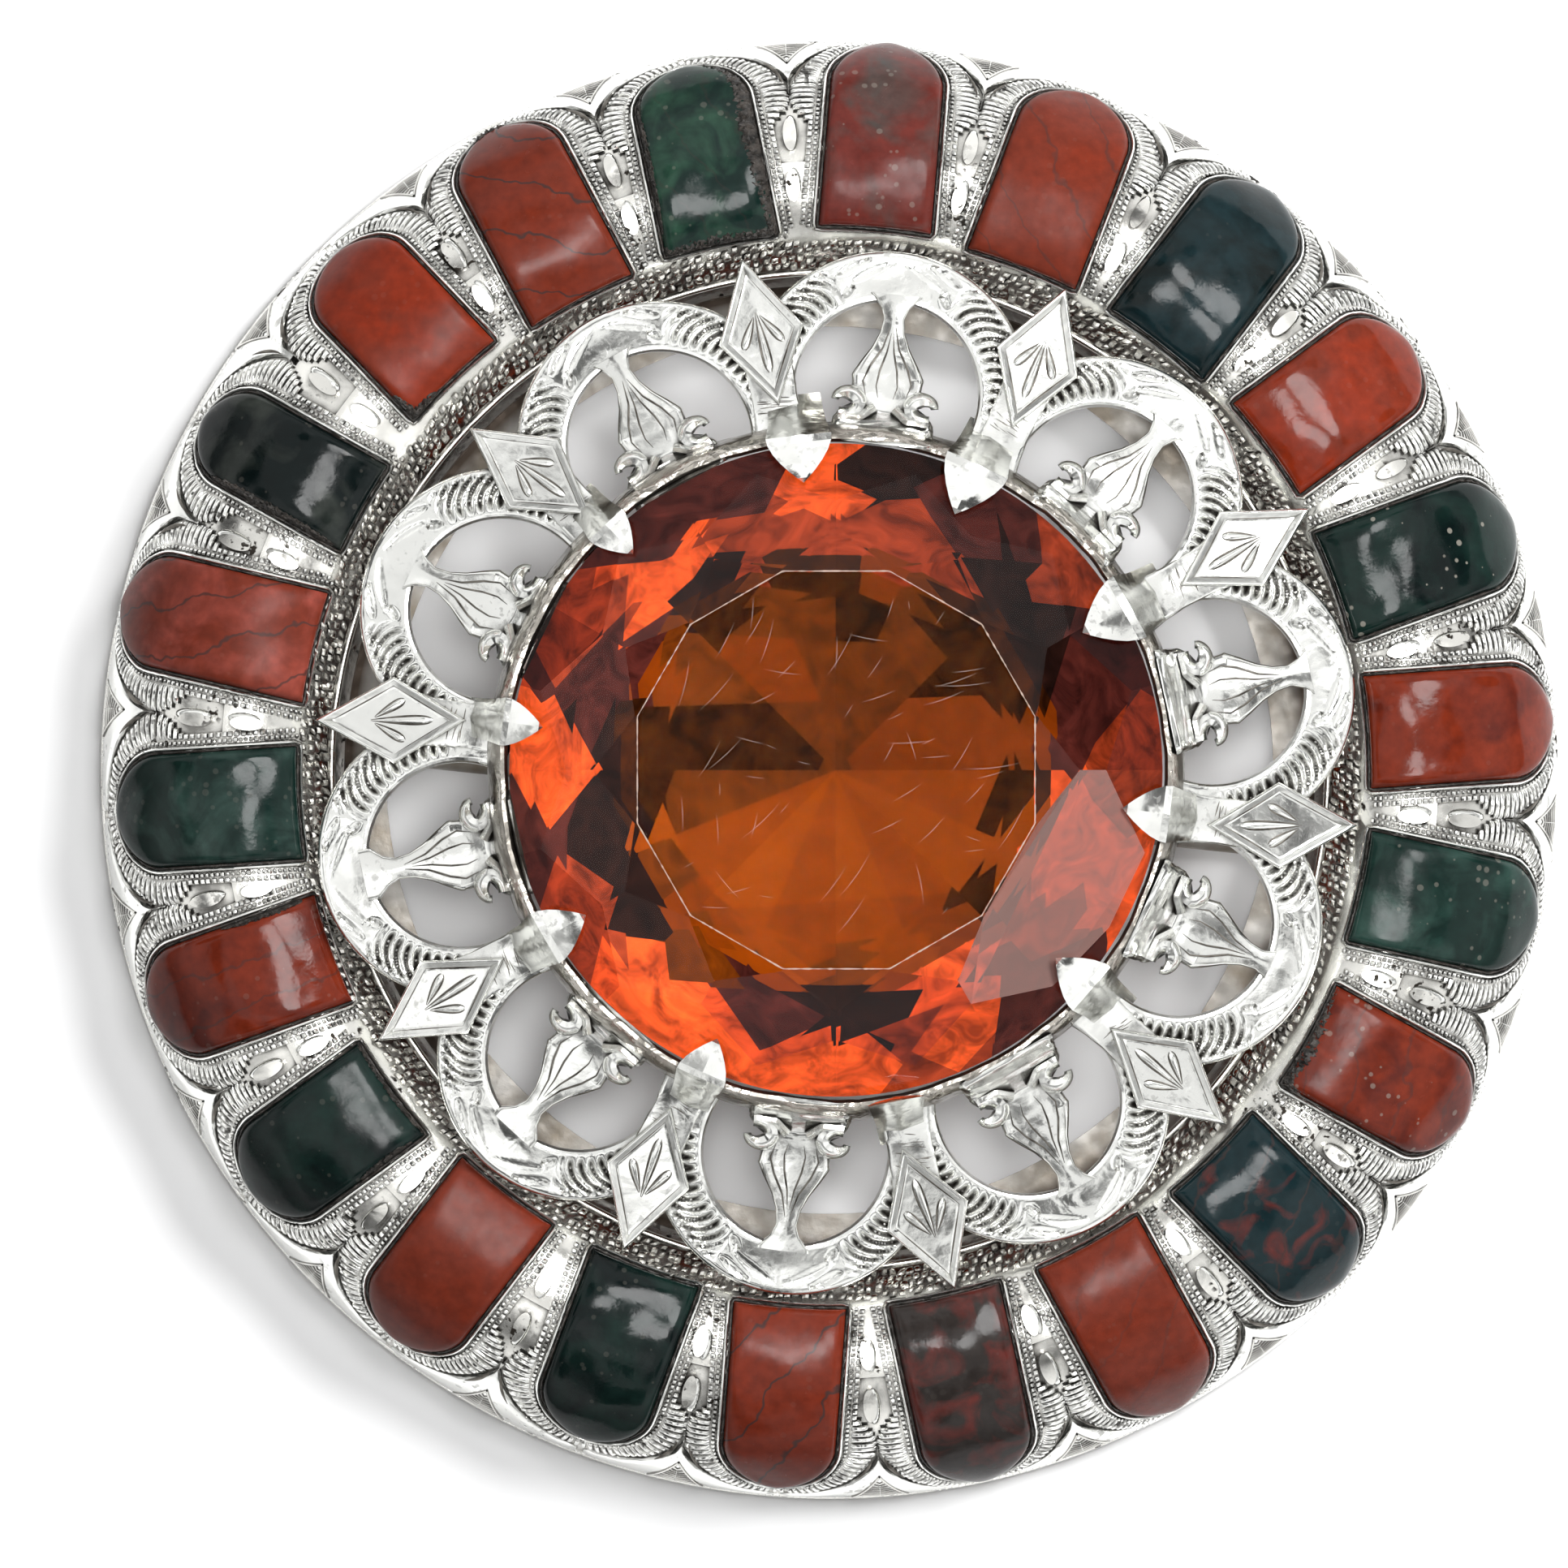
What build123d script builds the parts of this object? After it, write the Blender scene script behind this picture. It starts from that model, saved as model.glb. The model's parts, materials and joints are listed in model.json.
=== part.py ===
from build123d import *
from collections import namedtuple
from math import atan2, cos, degrees, pi, radians, sin, sqrt, tan
import os

# A round plaid brooch: a half-round silver ring inlaid with polished agates, and in its
# opening a pierced gallery that holds one large faceted citrine in ten claws.
# Millimetres and degrees. The ring's axis is Z, and its foot stands on z = 0.

# Ring
rim_radius = 38.0
dome_radius = 7.0
dome_sweep = 143.0
foot_height = 0.6
shell = 2.2
rope_wire = 1.0
rope_proud = 0.2
rope_height = 0.9
fit_gap = 0.05

# Agates, and the sunk fields and beads round them
first_stone_angle = 101.8
start_margin = 2.6
end_margin = 0.4
stone_width = 5.8
round_end = 2.1
pocket_depth = 1.3
stone_proud = 0.35
stone_edge = 0.3
band_width = 1.0
field_depth = 0.2
field_start = 6.3
bead_length = 1.7
bead_width = 0.7
bead_relief = 0.35
outer_bead_radius = 33.0
inner_bead_radius = 30.3

# Back plate and pin
plate_thickness = 0.6
plate_margin = 2.1
pin_diameter = 1.2
pin_lift = 0.35
pin_gap = 0.4
pin_angle = -6.0
pin_offset = -1.5
hinge_length = 4.2
hinge_width = 6.0
catch_length = 3.0
catch_width = 3.0
pin_tip = 2.5
pin_point = 0.4

# Citrine
stone_x = 0.3
stone_y = 0.0
citrine_radius = 16.8
girdle_height = 12.7
girdle_thickness = 0.8
crown_height = 4.1
table_radius = 10.2
crown_reach = 10.6
crown_mains = 12
pavilion_mains = 8
culet_gap = 1.1
scallop = 0.3
star_ease = 10.6
crown_break = 6.4
pavilion_break = 2.8

# Gallery
gallery_x = 0.7
gallery_y = -0.1
first_lobe_angle = 83.9
seat_lap = 1.85
seat_gap = 0.1
sheet = 1.1
gallery_rise = 1.4
lobe_radius = 7.4
crescent_width = 2.65
kite_length = 7.8
kite_width = 4.5
kite_shoulder = 4.1
kite_relief = 0.3
strut_width = 2.6
stem_width = 1.1
tulip_width = 3.7
tulip_length = 3.2
bracket_length = 1.9
scroll_radius = 0.8
scroll_spread = 2.1
scroll_height = 0.9
bracket_width = 2.8
collar_wall = 0.85
collar_depth = 3.2
collar_lip = 0.5
neck_run = 2.5
neck_drop = 1.0
seat_width = 1.7
brim_spare = 2.0
strut_follow = 0.25

# Claws
claw_gap = 0.08
claw_reach = 1.7
claw_width = 3.2
claw_thickness = 0.7
claw_root = 1.6
claw_lap = 0.23
claw_belly = 0.8

# Worked-out places of the ring
dome_edge = rim_radius - rope_proud
crest_radius = dome_edge - dome_radius
eye_radius = crest_radius + dome_radius * cos(radians(dome_sweep))
skirt_inner = dome_edge - shell
stone_start = eye_radius + start_margin
stone_length = dome_edge - end_margin - stone_start

plate_bottom = pin_lift + pin_diameter + pin_gap
plate_top = plate_bottom + plate_thickness
plate_inner = eye_radius - plate_margin
pin_axis_height = pin_lift + pin_diameter / 2

# Worked-out places of the citrine and its gallery
girdle_top = girdle_height + girdle_thickness
table_height = girdle_top + crown_height
culet_height = pin_lift + pin_diameter + culet_gap
collar_radius = citrine_radius + collar_wall
collar_top = girdle_height + collar_lip
gallery_reach = eye_radius + seat_lap
lobe_centre = gallery_reach - lobe_radius
hole_radius = lobe_radius - crescent_width
bracket_end = collar_radius + bracket_length
scroll_ring = bracket_end - scroll_radius
tulip_end = bracket_end + tulip_length
neck_radius = collar_radius + neck_run
eccentricity = sqrt(gallery_x**2 + gallery_y**2)
tall = table_height + dome_radius

# Each agate's place: turn is degrees off the even spacing, start and end are shares of the
# stone length by which its two ends lie further out, and width is a share of the stone width.
Agate = namedtuple("Agate", "number turn start end width")
agates = [
    Agate(1, -0.1, 0.00, -0.03, 1.00),
    Agate(2, -0.2, 0.03, 0.03, 1.00),
    Agate(3, 0.0, 0.00, 0.00, 1.02),
    Agate(4, -0.2, 0.00, 0.02, 1.03),
    Agate(5, 0.0, 0.03, -0.02, 1.00),
    Agate(6, 0.0, 0.00, 0.02, 1.00),
    Agate(7, 0.4, 0.01, 0.01, 1.00),
    Agate(8, 0.4, 0.03, 0.00, 1.00),
    Agate(9, 0.2, 0.06, 0.01, 1.00),
    Agate(10, 0.4, 0.03, 0.00, 1.00),
    Agate(11, 0.4, 0.01, 0.02, 1.00),
    Agate(12, 0.5, 0.00, 0.02, 1.00),
    Agate(13, 0.3, 0.00, -0.02, 1.00),
    Agate(14, 0.6, -0.03, -0.06, 1.00),
    Agate(15, -0.2, -0.03, -0.04, 1.00),
    Agate(16, -0.3, 0.03, -0.04, 1.00),
    Agate(17, -0.3, -0.05, -0.01, 1.00),
    Agate(18, -0.1, -0.03, -0.05, 1.00),
    Agate(19, -0.6, -0.04, 0.02, 1.00),
    Agate(20, -0.2, -0.01, -0.03, 0.86),
    Agate(21, -0.6, 0.03, -0.05, 1.00),
    Agate(22, -0.3, -0.03, 0.00, 1.00),
]

# Each lobe's and each kite's place in the hand-cut gallery: turn is degrees off the even
# spacing, reach is a share of its own length by which it stands further out, and lean is
# the kite's angle to the radius.
Lobe = namedtuple("Lobe", "turn reach")
lobes = [
    Lobe(-0.3, 0.00),
    Lobe(-1.1, -0.04),
    Lobe(0.3, -0.02),
    Lobe(-0.2, -0.08),
    Lobe(-0.7, -0.02),
    Lobe(-1.1, 0.02),
    Lobe(-0.6, 0.06),
    Lobe(0.3, 0.08),
    Lobe(-1.2, -0.02),
    Lobe(-0.7, -0.03),
]
Kite = namedtuple("Kite", "turn reach lean")
kites = [
    Kite(-0.7, 0.00, 3.0),
    Kite(-0.6, 0.06, 3.5),
    Kite(-0.4, 0.08, 1.3),
    Kite(0.2, -0.04, 6.0),
    Kite(-0.6, -0.02, 2.8),
    Kite(0.3, 0.04, 8.5),
    Kite(-0.6, 0.02, 6.5),
    Kite(0.1, 0.09, 3.3),
    Kite(0.5, 0.05, 5.6),
    Kite(-0.5, -0.10, 7.0),
]

# Each claw's place: its angle round the citrine, and its reach and width as shares of the
# claw's reach and width. The sixth is broken off where it bends over the stone.
Claw = namedtuple("Claw", "angle reach width")
claws = [
    Claw(96.4, 1.00, 1.10),
    Claw(65.1, 1.15, 1.10),
    Claw(29.1, 1.15, 1.15),
    Claw(-7.6, 1.00, 0.95),
    Claw(-40.6, 1.00, 0.95),
    Claw(-79.7, 0.10, 0.95),
    Claw(-113.8, 0.90, 0.85),
    Claw(-149.9, 1.00, 0.95),
    Claw(171.7, 0.85, 0.80),
    Claw(133.2, 0.85, 0.75),
]

stone_pitch = 360 / len(agates)
lobe_pitch = 360 / len(lobes)
first_kite_angle = first_lobe_angle + lobe_pitch / 2


def dome_height(radius, layer=0.0):
    """Height of the dome at a distance from the axis, or of a surface parallel to it."""
    across = radius - crest_radius
    return foot_height + sqrt((dome_radius + layer) ** 2 - across**2)


def sheet_height(radius):
    """Height of the gallery sheet's underside, which slopes up from its seat on the ring."""
    furthest = kite_length * max(kite.reach for kite in kites)
    seat = dome_height(gallery_reach + furthest + eccentricity) + seat_gap
    return seat + gallery_rise * (gallery_reach - radius) / (gallery_reach - neck_radius)


def start_of(agate):
    return stone_start + agate.start * stone_length


def end_of(agate):
    return stone_start + (1 + agate.end) * stone_length


def arch(agate, grow=0.0):
    """Plan outline of one agate: a straight inner end, parallel sides and a round outer end."""
    half = agate.width * stone_width / 2 + grow
    start = start_of(agate) - grow
    shoulder = end_of(agate) - round_end
    angle = first_stone_angle - (agate.number - 1) * stone_pitch + agate.turn
    with BuildSketch(Plane.XY.rotated((0, 0, angle))) as outline:
        with BuildLine():
            Polyline((shoulder, half), (start, half), (start, -half), (shoulder, -half))
            EllipticalCenterArc((shoulder, 0), round_end + grow, half, -90, arc_size=180)
        make_face()
    return outline.sketch


def dome_layer(inside, outside, level):
    """Ring-shaped layer between two surfaces parallel to the dome, above a level."""
    with BuildPart() as layer:
        with BuildSketch(Plane.XZ):
            with Locations((crest_radius, foot_height)):
                Circle(dome_radius + outside)
                Circle(dome_radius + inside, mode=Mode.SUBTRACT)
            with Locations((crest_radius, level)):
                Rectangle(tall, tall, align=(Align.CENTER, Align.MAX), mode=Mode.SUBTRACT)
        revolve(axis=Axis.Z)
    return layer.part


os.makedirs("parts", exist_ok=True)

pocket_sill = dome_height(max(end_of(agate) for agate in agates)) - stone_proud / 2
field_sill = pocket_sill - band_width / 2

# What is cut from the dome: a pocket for each agate, and the sunk fields between the milled
# bands that frame the agates. Two polished beads stand on each web between the bands.
with BuildPart() as pockets:
    with BuildSketch():
        for agate in agates:
            add(arch(agate, fit_gap))
    extrude(amount=tall)
    add(dome_layer(-pocket_depth, dome_radius / 2, pocket_sill), mode=Mode.INTERSECT)

with BuildPart() as fields:
    with BuildSketch():
        Circle(dome_edge + rope_wire / 2)
        Circle(eye_radius + field_start, mode=Mode.SUBTRACT)
        for agate in agates:
            add(arch(agate, band_width), mode=Mode.SUBTRACT)
    extrude(amount=tall)
    add(dome_layer(-field_depth, dome_radius / 2, field_sill), mode=Mode.INTERSECT)

with BuildPart() as beads:
    with BuildSketch():
        for radius in (outer_bead_radius, inner_bead_radius):
            with PolarLocations(radius, len(agates), first_stone_angle + stone_pitch / 2):
                Ellipse(bead_length / 2, bead_width / 2)
    extrude(amount=tall)
    add(dome_layer(-shell / 2, bead_relief, field_sill), mode=Mode.INTERSECT)

# Ring: half-round outside, hollow below, with a recess in its foot for the back plate
with BuildPart() as ring_frame:
    with BuildSketch(Plane.XZ) as ring_section:
        with Locations((crest_radius, foot_height)):
            Circle(dome_radius)
        with Locations((dome_edge, foot_height)):
            Rectangle(shell, foot_height, align=(Align.MAX, Align.MAX))
        with Locations((rim_radius - rope_wire / 2, rope_height)):
            Circle(rope_wire / 2)
        with Locations((crest_radius, foot_height)):
            Circle(dome_radius - shell, mode=Mode.SUBTRACT)
        with Locations((skirt_inner, plate_top + fit_gap)):
            Rectangle(tall, tall, align=(Align.MAX, Align.MAX), mode=Mode.SUBTRACT)
        with Locations((dome_edge, 0)):
            Rectangle(tall, tall, align=(Align.CENTER, Align.MAX), mode=Mode.SUBTRACT)
        with Locations((eye_radius, 0)):
            Rectangle(tall, tall, align=(Align.MAX, Align.CENTER), mode=Mode.SUBTRACT)
    revolve(axis=Axis.Z)
    add(pockets.part, mode=Mode.SUBTRACT)
    add(fields.part, mode=Mode.SUBTRACT)
    add(beads.part)
ring_frame.part.label = "ring_frame"
export_step(ring_frame.part, "parts/ring_frame.step")

# Agates: polished slips curved like the dome, a little proud of it, with eased edges
for agate in agates:
    with BuildPart() as slip:
        extrude(arch(agate), amount=tall)
        add(dome_layer(fit_gap - pocket_depth, stone_proud, pocket_sill + fit_gap), mode=Mode.INTERSECT)
        fillet(slip.faces().sort_by(Axis.Z)[-1].edges(), stone_edge)
    slip.part.label = f"agate_{agate.number:02d}"
    export_step(slip.part, f"parts/agate_{agate.number:02d}.step")

# Back plate: the flat annular sheet that closes the ring's hollow
with BuildPart() as back_plate:
    with BuildSketch(Plane.XY.offset(plate_bottom)):
        Circle(skirt_inner - fit_gap)
        Circle(plate_inner, mode=Mode.SUBTRACT)
    extrude(amount=plate_thickness)
back_plate.part.label = "back_plate"
export_step(back_plate.part, "parts/back_plate.step")

# Citrine: a round brilliant, cut facet by facet from a disc
stone_axis = Plane((stone_x, stone_y, 0))
crown_slope = degrees(atan2(crown_height, citrine_radius - crown_reach))
pavilion_slope = degrees(atan2(girdle_height - culet_height, citrine_radius))


def facet_plane(angle, slope, radius, height):
    """Plane of one facet, through a point at that radius and height, facing out and up."""
    out = Vector(cos(radians(angle)), sin(radians(angle)), 0)
    point = Vector(stone_x, stone_y, height) + out * radius
    normal = out * sin(radians(slope)) + Vector(0, 0, cos(radians(slope)))
    return Plane(origin=point, z_dir=normal)


# Each row of facets: how many, their turn as a share of the spacing, slope, radius, height
Facets = namedtuple("Facets", "count turn slope radius height")
facet_rows = [
    Facets(crown_mains, 0.5, crown_slope, citrine_radius, girdle_top),
    Facets(crown_mains, 0.0, crown_slope - star_ease, table_radius, table_height),
    Facets(2 * crown_mains, 0.5, crown_slope + crown_break, citrine_radius, girdle_top - scallop),
    Facets(pavilion_mains, 0.5, 180 - pavilion_slope, citrine_radius, girdle_height),
    Facets(2 * pavilion_mains, 0.5, 180 - pavilion_slope - pavilion_break, citrine_radius, girdle_height),
]
with BuildPart() as citrine:
    with BuildSketch(stone_axis.offset(culet_height - culet_gap)):
        Circle(citrine_radius)
    extrude(amount=table_height - culet_height + culet_gap)
    for row in facet_rows:
        for index in range(row.count):
            angle = (index + row.turn) * 360 / row.count
            split(bisect_by=facet_plane(angle, row.slope, row.radius, row.height), keep=Keep.BOTTOM)
citrine.part.label = "citrine"
export_step(citrine.part, "parts/citrine.step")


def claw_solid(claw):
    """One claw: a bent strip from the collar over the girdle, cut to a leaf with a point."""
    out = Vector(cos(radians(claw.angle)), sin(radians(claw.angle)), 0)
    origin = Vector(stone_x, stone_y, 0)
    side = Plane(origin=origin, x_dir=out, z_dir=out.cross(Vector(0, 0, 1)))
    top_slope = tan(radians(crown_slope + crown_break))
    inner = citrine_radius + claw_gap
    root = collar_radius + claw_lap
    bend_height = girdle_top + claw_gap
    tip_radius = citrine_radius - claw.reach * claw_reach
    tip_height = bend_height + (inner - tip_radius) * top_slope
    half = claw.width * claw_width / 2
    with BuildPart() as solid:
        with BuildSketch(side):
            with BuildLine():
                Polyline(
                    (inner, collar_top - claw_root),
                    (root, collar_top - claw_root),
                    (root, bend_height),
                    (inner, bend_height + claw_thickness),
                    (tip_radius, tip_height + claw_thickness / 2),
                    (tip_radius, tip_height),
                    (inner, bend_height),
                    close=True,
                )
            make_face()
        extrude(amount=half, both=True)
        with BuildSketch(Plane(origin=origin, x_dir=out, z_dir=(0, 0, 1))):
            with BuildLine():
                middle = (root + tip_radius) / 2
                Line((root, -half), (root, half))
                ThreePointArc((root, half), (middle, claw_belly * half), (tip_radius, 0))
                ThreePointArc((root, -half), (middle, -claw_belly * half), (tip_radius, 0))
            make_face()
        extrude(amount=tall, mode=Mode.INTERSECT)
    return solid.part


claw_solids = [claw_solid(claw) for claw in claws]

# Plan of one tulip: its bracket, the flower, and the stem that hangs it from the lobe. Each
# row of the flower's outline is a share of its length and a share of its width.
Outline = namedtuple("Outline", "along width")
flower = [Outline(0.0, 0.95), Outline(0.3, 1.0), Outline(0.65, 0.6)]
flower_side = [(bracket_end + row.along * tulip_length, row.width * tulip_width / 2) for row in flower]
tulip_side = [
    (citrine_radius, bracket_width / 2),
    *flower_side,
    (tulip_end, stem_width / 2),
    (lobe_centre + hole_radius + stem_width / 2, stem_width / 2),
]
with BuildSketch() as tulip:
    Polygon(*tulip_side, *[(x, -y) for x, y in reversed(tulip_side)], align=None)

# Plan of one kite, a long rhombus drawn from its outer point, and of the strut behind it
with BuildSketch() as kite_plan:
    Polygon(
        (0, 0),
        (-kite_shoulder, kite_width / 2),
        (-kite_length, 0),
        (-kite_shoulder, -kite_width / 2),
        align=None,
    )
with BuildSketch() as strut_plan:
    with Locations((citrine_radius, 0)):
        strut_run = gallery_reach - kite_length / 2 - citrine_radius
        Rectangle(strut_run, strut_width, align=(Align.MIN, Align.CENTER))


def lobe_angle(index):
    return first_lobe_angle - index * lobe_pitch + lobes[index].turn


def kite_angle(index):
    return first_kite_angle - index * lobe_pitch + kites[index].turn


def lobe_middle(index):
    """Where the centre of a lobe's round opening lies."""
    reach = lobe_centre + lobes[index].reach * lobe_radius
    return Location(Vector(reach, 0).rotate(Axis.Z, lobe_angle(index)))


def kite_tip(index):
    """Where a kite's outer point lies, and how its long axis is turned."""
    reach = gallery_reach + kites[index].reach * kite_length
    tip = Vector(reach, 0).rotate(Axis.Z, kite_angle(index))
    return Location(tip, (0, 0, kite_angle(index) + kites[index].lean))


def scroll_middle(index, side):
    """Where one of the two curled scrolls at a tulip's foot lies."""
    spread = side * degrees(scroll_spread / scroll_ring)
    return Location(Vector(scroll_ring, 0).rotate(Axis.Z, lobe_angle(index) + spread))


lobe_middles = [lobe_middle(index) for index in range(len(lobes))]
kite_tips = [kite_tip(index) for index in range(len(kites))]
scroll_middles = [scroll_middle(index, side) for index in range(len(lobes)) for side in (-1, 1)]
stem_turns = [Location((0, 0, 0), (0, 0, lobe_angle(index))) for index in range(len(lobes))]
strut_turns = [
    Location((0, 0, 0), (0, 0, kite_angle(index) - strut_follow * kites[index].lean))
    for index in range(len(kites))
]
gallery_origin = Vector(gallery_x, gallery_y, 0)
gallery_plane = Plane(gallery_origin)
gallery_side = Plane(origin=gallery_origin, x_dir=(1, 0, 0), z_dir=(0, -1, 0))
gallery_axis = Axis(gallery_origin, (0, 0, 1))
neck_top = collar_top - sheet - neck_drop


def gallery_sheet(lift, thickness):
    """The gallery's sheet before it is pierced: a sloping brim that turns up into a neck."""
    brim = gallery_reach + brim_spare
    inner = citrine_radius - collar_wall
    slope = (neck_radius - brim, sheet_height(neck_radius) - sheet_height(brim))
    rise = thickness + lift
    neck = neck_radius
    with BuildPart() as body:
        with BuildSketch(gallery_side):
            with BuildLine():
                Line((brim, sheet_height(brim) + lift), (neck, sheet_height(neck) + lift))
                TangentArc((neck, sheet_height(neck) + lift), (inner, neck_top + lift), tangent=slope)
                Line((inner, neck_top + lift), (inner, neck_top + rise))
                TangentArc((neck, sheet_height(neck) + rise), (inner, neck_top + rise), tangent=slope)
                Line((neck, sheet_height(neck) + rise), (brim, sheet_height(brim) + rise))
                Line((brim, sheet_height(brim) + rise), (brim, sheet_height(brim) + lift))
            make_face()
        revolve(axis=gallery_axis)
    return body.part


with BuildPart() as raised_work:
    with BuildSketch(gallery_plane):
        with Locations(kite_tips):
            add(kite_plan.sketch)
    extrude(amount=tall)
    add(gallery_sheet(sheet / 2, sheet / 2 + kite_relief), mode=Mode.INTERSECT)

# Gallery: lobes, kites, tulips and struts cut from one sheet, with the collar and the claws
with BuildPart() as gallery:
    with BuildSketch(gallery_plane):
        with Locations(lobe_middles):
            Circle(lobe_radius)
        with Locations(lobe_middles):
            Circle(hole_radius, mode=Mode.SUBTRACT)
        Circle(collar_radius + fit_gap, mode=Mode.SUBTRACT)
        with Locations(strut_turns):
            add(strut_plan.sketch)
        with Locations(kite_tips):
            add(kite_plan.sketch)
        with Locations(stem_turns):
            add(tulip.sketch)
    extrude(amount=tall)
    add(gallery_sheet(0, sheet), mode=Mode.INTERSECT)
    add(raised_work.part)
    with BuildSketch(gallery_plane.offset(sheet_height(scroll_ring) + sheet / 2)):
        with Locations(scroll_middles):
            Circle(scroll_radius)
    extrude(amount=sheet / 2 + scroll_height)
    with BuildSketch(stone_axis):
        Circle(collar_radius - collar_wall / 2)
    extrude(amount=tall, mode=Mode.SUBTRACT)
    with BuildSketch(Plane(origin=stone_axis.origin, x_dir=(1, 0, 0), z_dir=(0, -1, 0))):
        with BuildLine():
            seat_slope = tan(radians(pavilion_slope)) * cos(pi / pavilion_mains)
            seat_outer = citrine_radius + fit_gap
            seat_inner = citrine_radius - seat_width
            bottom = collar_top - collar_depth
            Polyline(
                (collar_radius, bottom),
                (collar_radius, collar_top),
                (seat_outer, collar_top),
                (seat_outer, culet_height + seat_outer * seat_slope - fit_gap),
                (seat_inner, culet_height + seat_inner * seat_slope - fit_gap),
                (seat_inner, bottom),
                close=True,
            )
        make_face()
    revolve(axis=Axis(stone_axis.origin, (0, 0, 1)))
    for solid in claw_solids:
        add(solid)
gallery.part.label = "gallery"
export_step(gallery.part, "parts/gallery.step")

# Pin: one plain piece of hinge block, tapered stem and catch, below the back plate
block_height = plate_bottom - fit_gap - pin_lift
block_radius = (plate_inner + skirt_inner) / 2
pin_plane = Plane.XY.rotated((0, 0, pin_angle))
with BuildPart() as brooch_pin:
    with BuildSketch(pin_plane.offset(pin_lift)):
        with Locations((-block_radius, pin_offset)):
            Rectangle(hinge_length, hinge_width)
        with Locations((block_radius, pin_offset)):
            Rectangle(catch_length, catch_width)
    extrude(amount=block_height)
    stem_start = pin_plane.from_local_coords((-block_radius, pin_offset, pin_axis_height))
    stem = Plane(origin=stem_start, z_dir=pin_plane.x_dir)
    with BuildSketch(stem):
        Circle(pin_diameter / 2)
    extrude(amount=2 * block_radius)
    with BuildSketch(stem.offset(2 * block_radius)):
        Circle(pin_diameter / 2)
    with BuildSketch(stem.offset(2 * block_radius + pin_tip)):
        Circle(pin_point / 2)
    loft()
brooch_pin.part.label = "brooch_pin"
export_step(brooch_pin.part, "parts/brooch_pin.step")
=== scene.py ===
"""A round silver plaid brooch: an agate-inlaid ring, a pierced gallery and a large citrine.

Lengths are in millimetres until a mesh is made, and angles in degrees unless a name says radians.
The ring's dome is charted by an angle round the ring and by an arc: the length along the dome's
section from the rim inwards.
"""
import json
from collections import namedtuple
from math import atan2, cos, degrees, hypot, inf, pi, radians, sin, sqrt, tau

import bmesh
import bpy
import numpy as np
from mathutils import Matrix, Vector


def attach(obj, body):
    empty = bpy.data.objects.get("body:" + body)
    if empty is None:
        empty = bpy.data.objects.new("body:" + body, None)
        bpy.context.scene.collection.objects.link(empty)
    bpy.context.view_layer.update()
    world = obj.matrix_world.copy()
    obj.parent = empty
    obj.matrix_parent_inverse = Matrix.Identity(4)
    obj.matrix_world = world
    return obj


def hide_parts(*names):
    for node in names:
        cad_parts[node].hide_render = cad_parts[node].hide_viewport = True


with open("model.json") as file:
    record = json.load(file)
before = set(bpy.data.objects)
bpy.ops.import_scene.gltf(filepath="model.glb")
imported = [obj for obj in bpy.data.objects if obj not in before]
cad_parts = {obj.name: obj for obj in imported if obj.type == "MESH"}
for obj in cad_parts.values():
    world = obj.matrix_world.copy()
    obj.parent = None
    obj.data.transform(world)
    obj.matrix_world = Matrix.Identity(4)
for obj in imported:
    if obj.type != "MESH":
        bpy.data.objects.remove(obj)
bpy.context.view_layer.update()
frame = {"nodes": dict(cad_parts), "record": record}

MM = 0.001
weld_distance = 0.002

# Ring, as in the solids
rim_radius = 38.0
dome_radius = 7.0
dome_edge = 37.8
foot_height = 0.6
crest_radius = dome_edge - dome_radius
rope_wire = 1.0
rope_height = 0.9

# Agates, as in the solids
first_stone_angle = 101.8
stone_start = 27.81
stone_length = 9.59
stone_width = 5.8
round_end = 2.1
stone_count = 22
stone_pitch = 360 / stone_count

# Work round the agates
cement_width = 0.17
lip_width = 0.24
lip_height = 0.2
bead_row = 0.56
bead_size = 0.23
bead_pitch = 0.27
ridge_start = 0.73
ridge_pitch = 0.33
ridge_height = 0.2
web_gap = 0.02
band_free_radius = 36.3
# Reach of the milled band from the stone at each plan radius
band_table = [
    (27.0, 1.02), (33.6, 1.02), (34.3, 1.8), (35.15, 2.3), (36.0, 1.9), (36.8, 1.55), (37.5, 1.35),
]

# Citrine and gallery, as in the solids
stone_x = 0.3
stone_y = 0.0
citrine_radius = 16.8
girdle_height = 12.7
girdle_top = 13.5
crown_height = 4.1
table_radius = 10.2
culet_height = 2.65
scallop = 0.3
star_ease = 10.6
crown_break = 6.4
pavilion_mains = 8
pavilion_break = 2.8
window_radius = 10.25
window_border = 8.9
chords = 26
crown_reach = 10.6
crown_mains = 12
gallery_x = 0.7
gallery_y = -0.1
gallery_reach = 27.06
gallery_rise = 1.4
seat_height = 7.3
sheet = 1.1
lobe_radius = 7.4
hole_radius = 4.75
lobe_centre = gallery_reach - lobe_radius
first_lobe_angle = 83.9
lobe_pitch = 36.0
first_kite_angle = first_lobe_angle + lobe_pitch / 2
kite_length = 7.8
kite_width = 4.5
kite_shoulder = 4.1
neck_radius = 20.15
neck_top = 11.1
neck_inner = 15.95

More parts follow.
